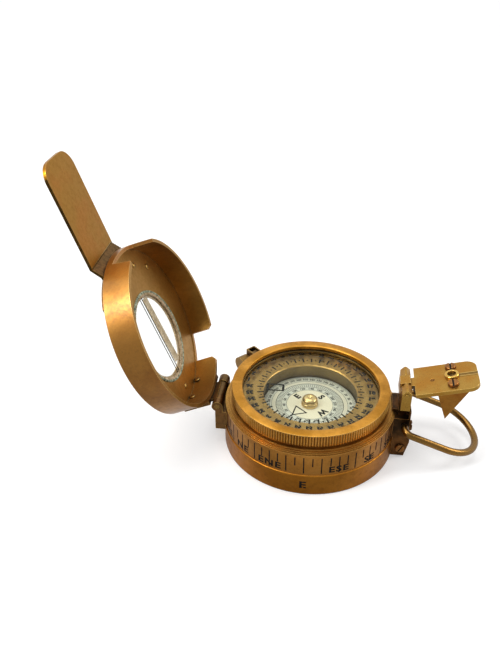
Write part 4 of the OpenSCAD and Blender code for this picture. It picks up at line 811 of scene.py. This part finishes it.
# Painted shade: a dark block fills the gap beside the prism's pin, standing for the shade there.
gap_shade_low = Vector((2.2 * MM, -5.6 * MM, -1.1 * MM))
gap_shade_high = Vector((2.95 * MM, -2.2 * MM, 0.1 * MM))
gap_shade = bmesh.new()
bmesh.ops.create_cube(gap_shade, size=1)
bmesh.ops.scale(gap_shade, vec=gap_shade_high - gap_shade_low, verts=gap_shade.verts)
bmesh.ops.bevel(gap_shade, geom=gap_shade.edges, offset=0.2 * MM, segments=2, profile=0.5, affect="EDGES",
                material=-1)
bmesh.ops.transform(gap_shade, matrix=on_pin @ Matrix.Translation((gap_shade_low + gap_shade_high) / 2),
                    verts=gap_shade.verts)
gap_shade_finish = dry_crust("gap_shade_finish", "#3A2E20", "#14100A", 0.5)
piece("gap_shade_block", gap_shade, gap_shade_finish, "prism")
for node in ("prism_glass", "eye_lens"):
    dress(node, lid_glass)

# The thumb ring is drawn brass wire, bent to a bow and sprung into the bracket's sides. The
# drawing left it smooth, so it takes a sharper shine than the rest.
ring_brass = aged_brass("ring_brass", "#806030", "#8E6834", "#DDBB80", "#3C2A16", satin=0.26, spots=0.15,
                        relief=0.06)
eased("thumb_ring", ring_brass, edge=0.1 * MM, sharp=40)

# The clamp is a folded brass post with a screw through it and a shoe inside, which presses on
# the bezel. Post and shoe have gone as dark as the hinge, and the screw is rubbed by fingers.
for node in ("clamp_bracket", "clamp_shoe"):
    eased(node, hinge_brass, edge=0.1 * MM)
eased("clamp_screw", rivet_brass, edge=0.1 * MM)

# The studio: a white table with a white background, a broad overhead light and two soft boxes.
# Brass mirrors a darker band of table in front of it, as from a dark camera and hands there.
BAND_NEAR, BAND_CLOSE, BAND_LEFT = (-0.02, -0.036), (-0.04, -0.056), (-0.04, -0.056)
floor_shape = bmesh.new()
bmesh.ops.create_grid(floor_shape, x_segments=1, y_segments=1, size=4)
floor_mesh = bpy.data.meshes.new("floor")
floor_shape.to_mesh(floor_mesh)
floor_shape.free()
floor = bpy.data.objects.new("floor", floor_mesh)
bpy.context.collection.objects.link(floor)
table_white, tree, table = new_finish("table_white")
table.inputs["Base Color"].default_value = linear("#D2D2D2")
table.inputs["Roughness"].default_value = 0.9
table.inputs["Specular IOR Level"].default_value = 0.0
rays = add(tree, "ShaderNodeLightPath")
mirrored = add(tree, "ShaderNodeMath",
               {0: rays.outputs["Is Glossy Ray"], 1: rays.outputs["Is Transmission Ray"]},
               operation="MAXIMUM")
lift = add(tree, "ShaderNodeMath", {0: mirrored.outputs[0], 1: 0.1}, operation="MULTIPLY")
lift = add(tree, "ShaderNodeMath", {0: rays.outputs["Is Camera Ray"], 1: 0.4, 2: lift.outputs[0]},
           operation="MULTIPLY_ADD")
glow = add(tree, "ShaderNodeEmission", {"Strength": lift.outputs[0]})
whole = add(tree, "ShaderNodeAddShader", {0: table.outputs[0], 1: glow.outputs[0]})
spot = add(tree, "ShaderNodeSeparateXYZ", {"Vector": add(tree, "ShaderNodeTexCoord").outputs["Object"]})
near = add(tree, "ShaderNodeMapRange", {0: spot.outputs["Y"], 1: BAND_NEAR[0], 2: BAND_NEAR[1]},
           interpolation_type="SMOOTHSTEP")
close = add(tree, "ShaderNodeMapRange",
            {0: spot.outputs["Y"], 1: BAND_CLOSE[0], 2: BAND_CLOSE[1], 3: 0.6, 4: 0.05},
            interpolation_type="SMOOTHSTEP")
left = add(tree, "ShaderNodeMapRange",
           {0: spot.outputs["X"], 1: BAND_LEFT[0], 2: BAND_LEFT[1], 4: 0.6},
           interpolation_type="SMOOTHSTEP")
close = add(tree, "ShaderNodeMath", {0: close.outputs[0], 1: left.outputs[0]}, operation="MAXIMUM")
shade = add(tree, "ShaderNodeMath", {0: near.outputs[0], 1: close.outputs[0]}, operation="MULTIPLY")
shade = add(tree, "ShaderNodeMath", {0: shade.outputs[0], 1: rays.outputs["Is Glossy Ray"]},
            operation="MULTIPLY")
black = add(tree, "ShaderNodeEmission", {"Strength": 0.0})
lit = add(tree, "ShaderNodeMixShader", {0: shade.outputs[0], 1: whole.outputs[0], 2: black.outputs[0]})
tree.links.new(lit.outputs[0], tree.nodes["Material Output"].inputs["Surface"])
floor.data.materials.append(table_white)

# The room is plain white to the camera. In what brass mirrors it is darker on the camera's side,
# and it lights the object at six tenths of that.
world = bpy.data.worlds.new("white_room")
bpy.context.scene.world = world
world.use_nodes = True
tree = world.node_tree
rays = add(tree, "ShaderNodeLightPath")
seen = add(tree, "ShaderNodeMath", {0: rays.outputs["Is Camera Ray"], 1: rays.outputs["Is Glossy Ray"]},
           operation="MAXIMUM")
seen = add(tree, "ShaderNodeMath", {0: seen.outputs[0], 1: rays.outputs["Is Transmission Ray"]},
           operation="MAXIMUM")
toward = add(tree, "ShaderNodeSeparateXYZ", {"Vector": add(tree, "ShaderNodeTexCoord").outputs["Generated"]})
front = add(tree, "ShaderNodeMapRange", {0: toward.outputs["Y"], 1: -0.9, 2: 0.1, 3: 0.45, 4: 1.0},
            interpolation_type="SMOOTHSTEP")
mirrored = add(tree, "ShaderNodeMath", {0: front.outputs[0], 1: rays.outputs["Is Camera Ray"]},
               operation="MAXIMUM")
soft = add(tree, "ShaderNodeMath", {0: front.outputs[0], 1: 0.6}, operation="MULTIPLY")
level = add(tree, "ShaderNodeMix", {0: seen.outputs[0], 2: soft.outputs[0], 3: mirrored.outputs[0]},
            data_type="FLOAT")
tree.links.new(level.outputs[0], tree.nodes["Background"].inputs["Strength"])
tree.nodes["Background"].inputs["Color"].default_value = (1, 1, 1, 1)

# The overhead light is as broad as a skylight. One soft box stands at the left and a weaker one
# at the right, a little behind.
sun = bpy.data.lights.new("overhead", "SUN")
sun.energy = 1.45
sun.angle = math.radians(50)
sun_holder = bpy.data.objects.new("overhead", sun)
sun_holder.rotation_euler = (math.radians(-6), math.radians(-14), 0)
bpy.context.collection.objects.link(sun_holder)
for name, place, aim, size, power in (
        ("left_box", (-0.40, -0.22, 0.40), (-0.03, 0, 0.04), 0.18, 1.5),
        ("right_box", (0.42, 0.1, 0.3), (0.03, 0, 0.02), 0.15, 0.7)):
    lamp = bpy.data.lights.new(name, "AREA")
    lamp.size = size
    lamp.energy = power
    holder = bpy.data.objects.new(name, lamp)
    holder.location = place
    holder.rotation_mode = "QUATERNION"
    holder.rotation_quaternion = (Vector(aim) - Vector(place)).to_track_quat("-Z", "Y")
    bpy.context.collection.objects.link(holder)

# The camera stands 27 cm off, in front of the case and looking down on it. Its place and lens
# were fitted to the ellipses that the photo shows.
camera = bpy.data.cameras.new("camera")
camera.lens = 38.70
camera.sensor_width = 36
camera.clip_start = 0.01
camera_holder = bpy.data.objects.new("camera", camera)
camera_holder.location = (0.0052, -0.2018, 0.1745)
camera_holder.rotation_mode = "QUATERNION"
camera_holder.rotation_quaternion = Vector((-0.113, 0.839, -0.532)).to_track_quat("-Z", "Y")
bpy.context.collection.objects.link(camera_holder)
bpy.context.scene.camera = camera_holder
bpy.context.scene.view_settings.view_transform = "Standard"
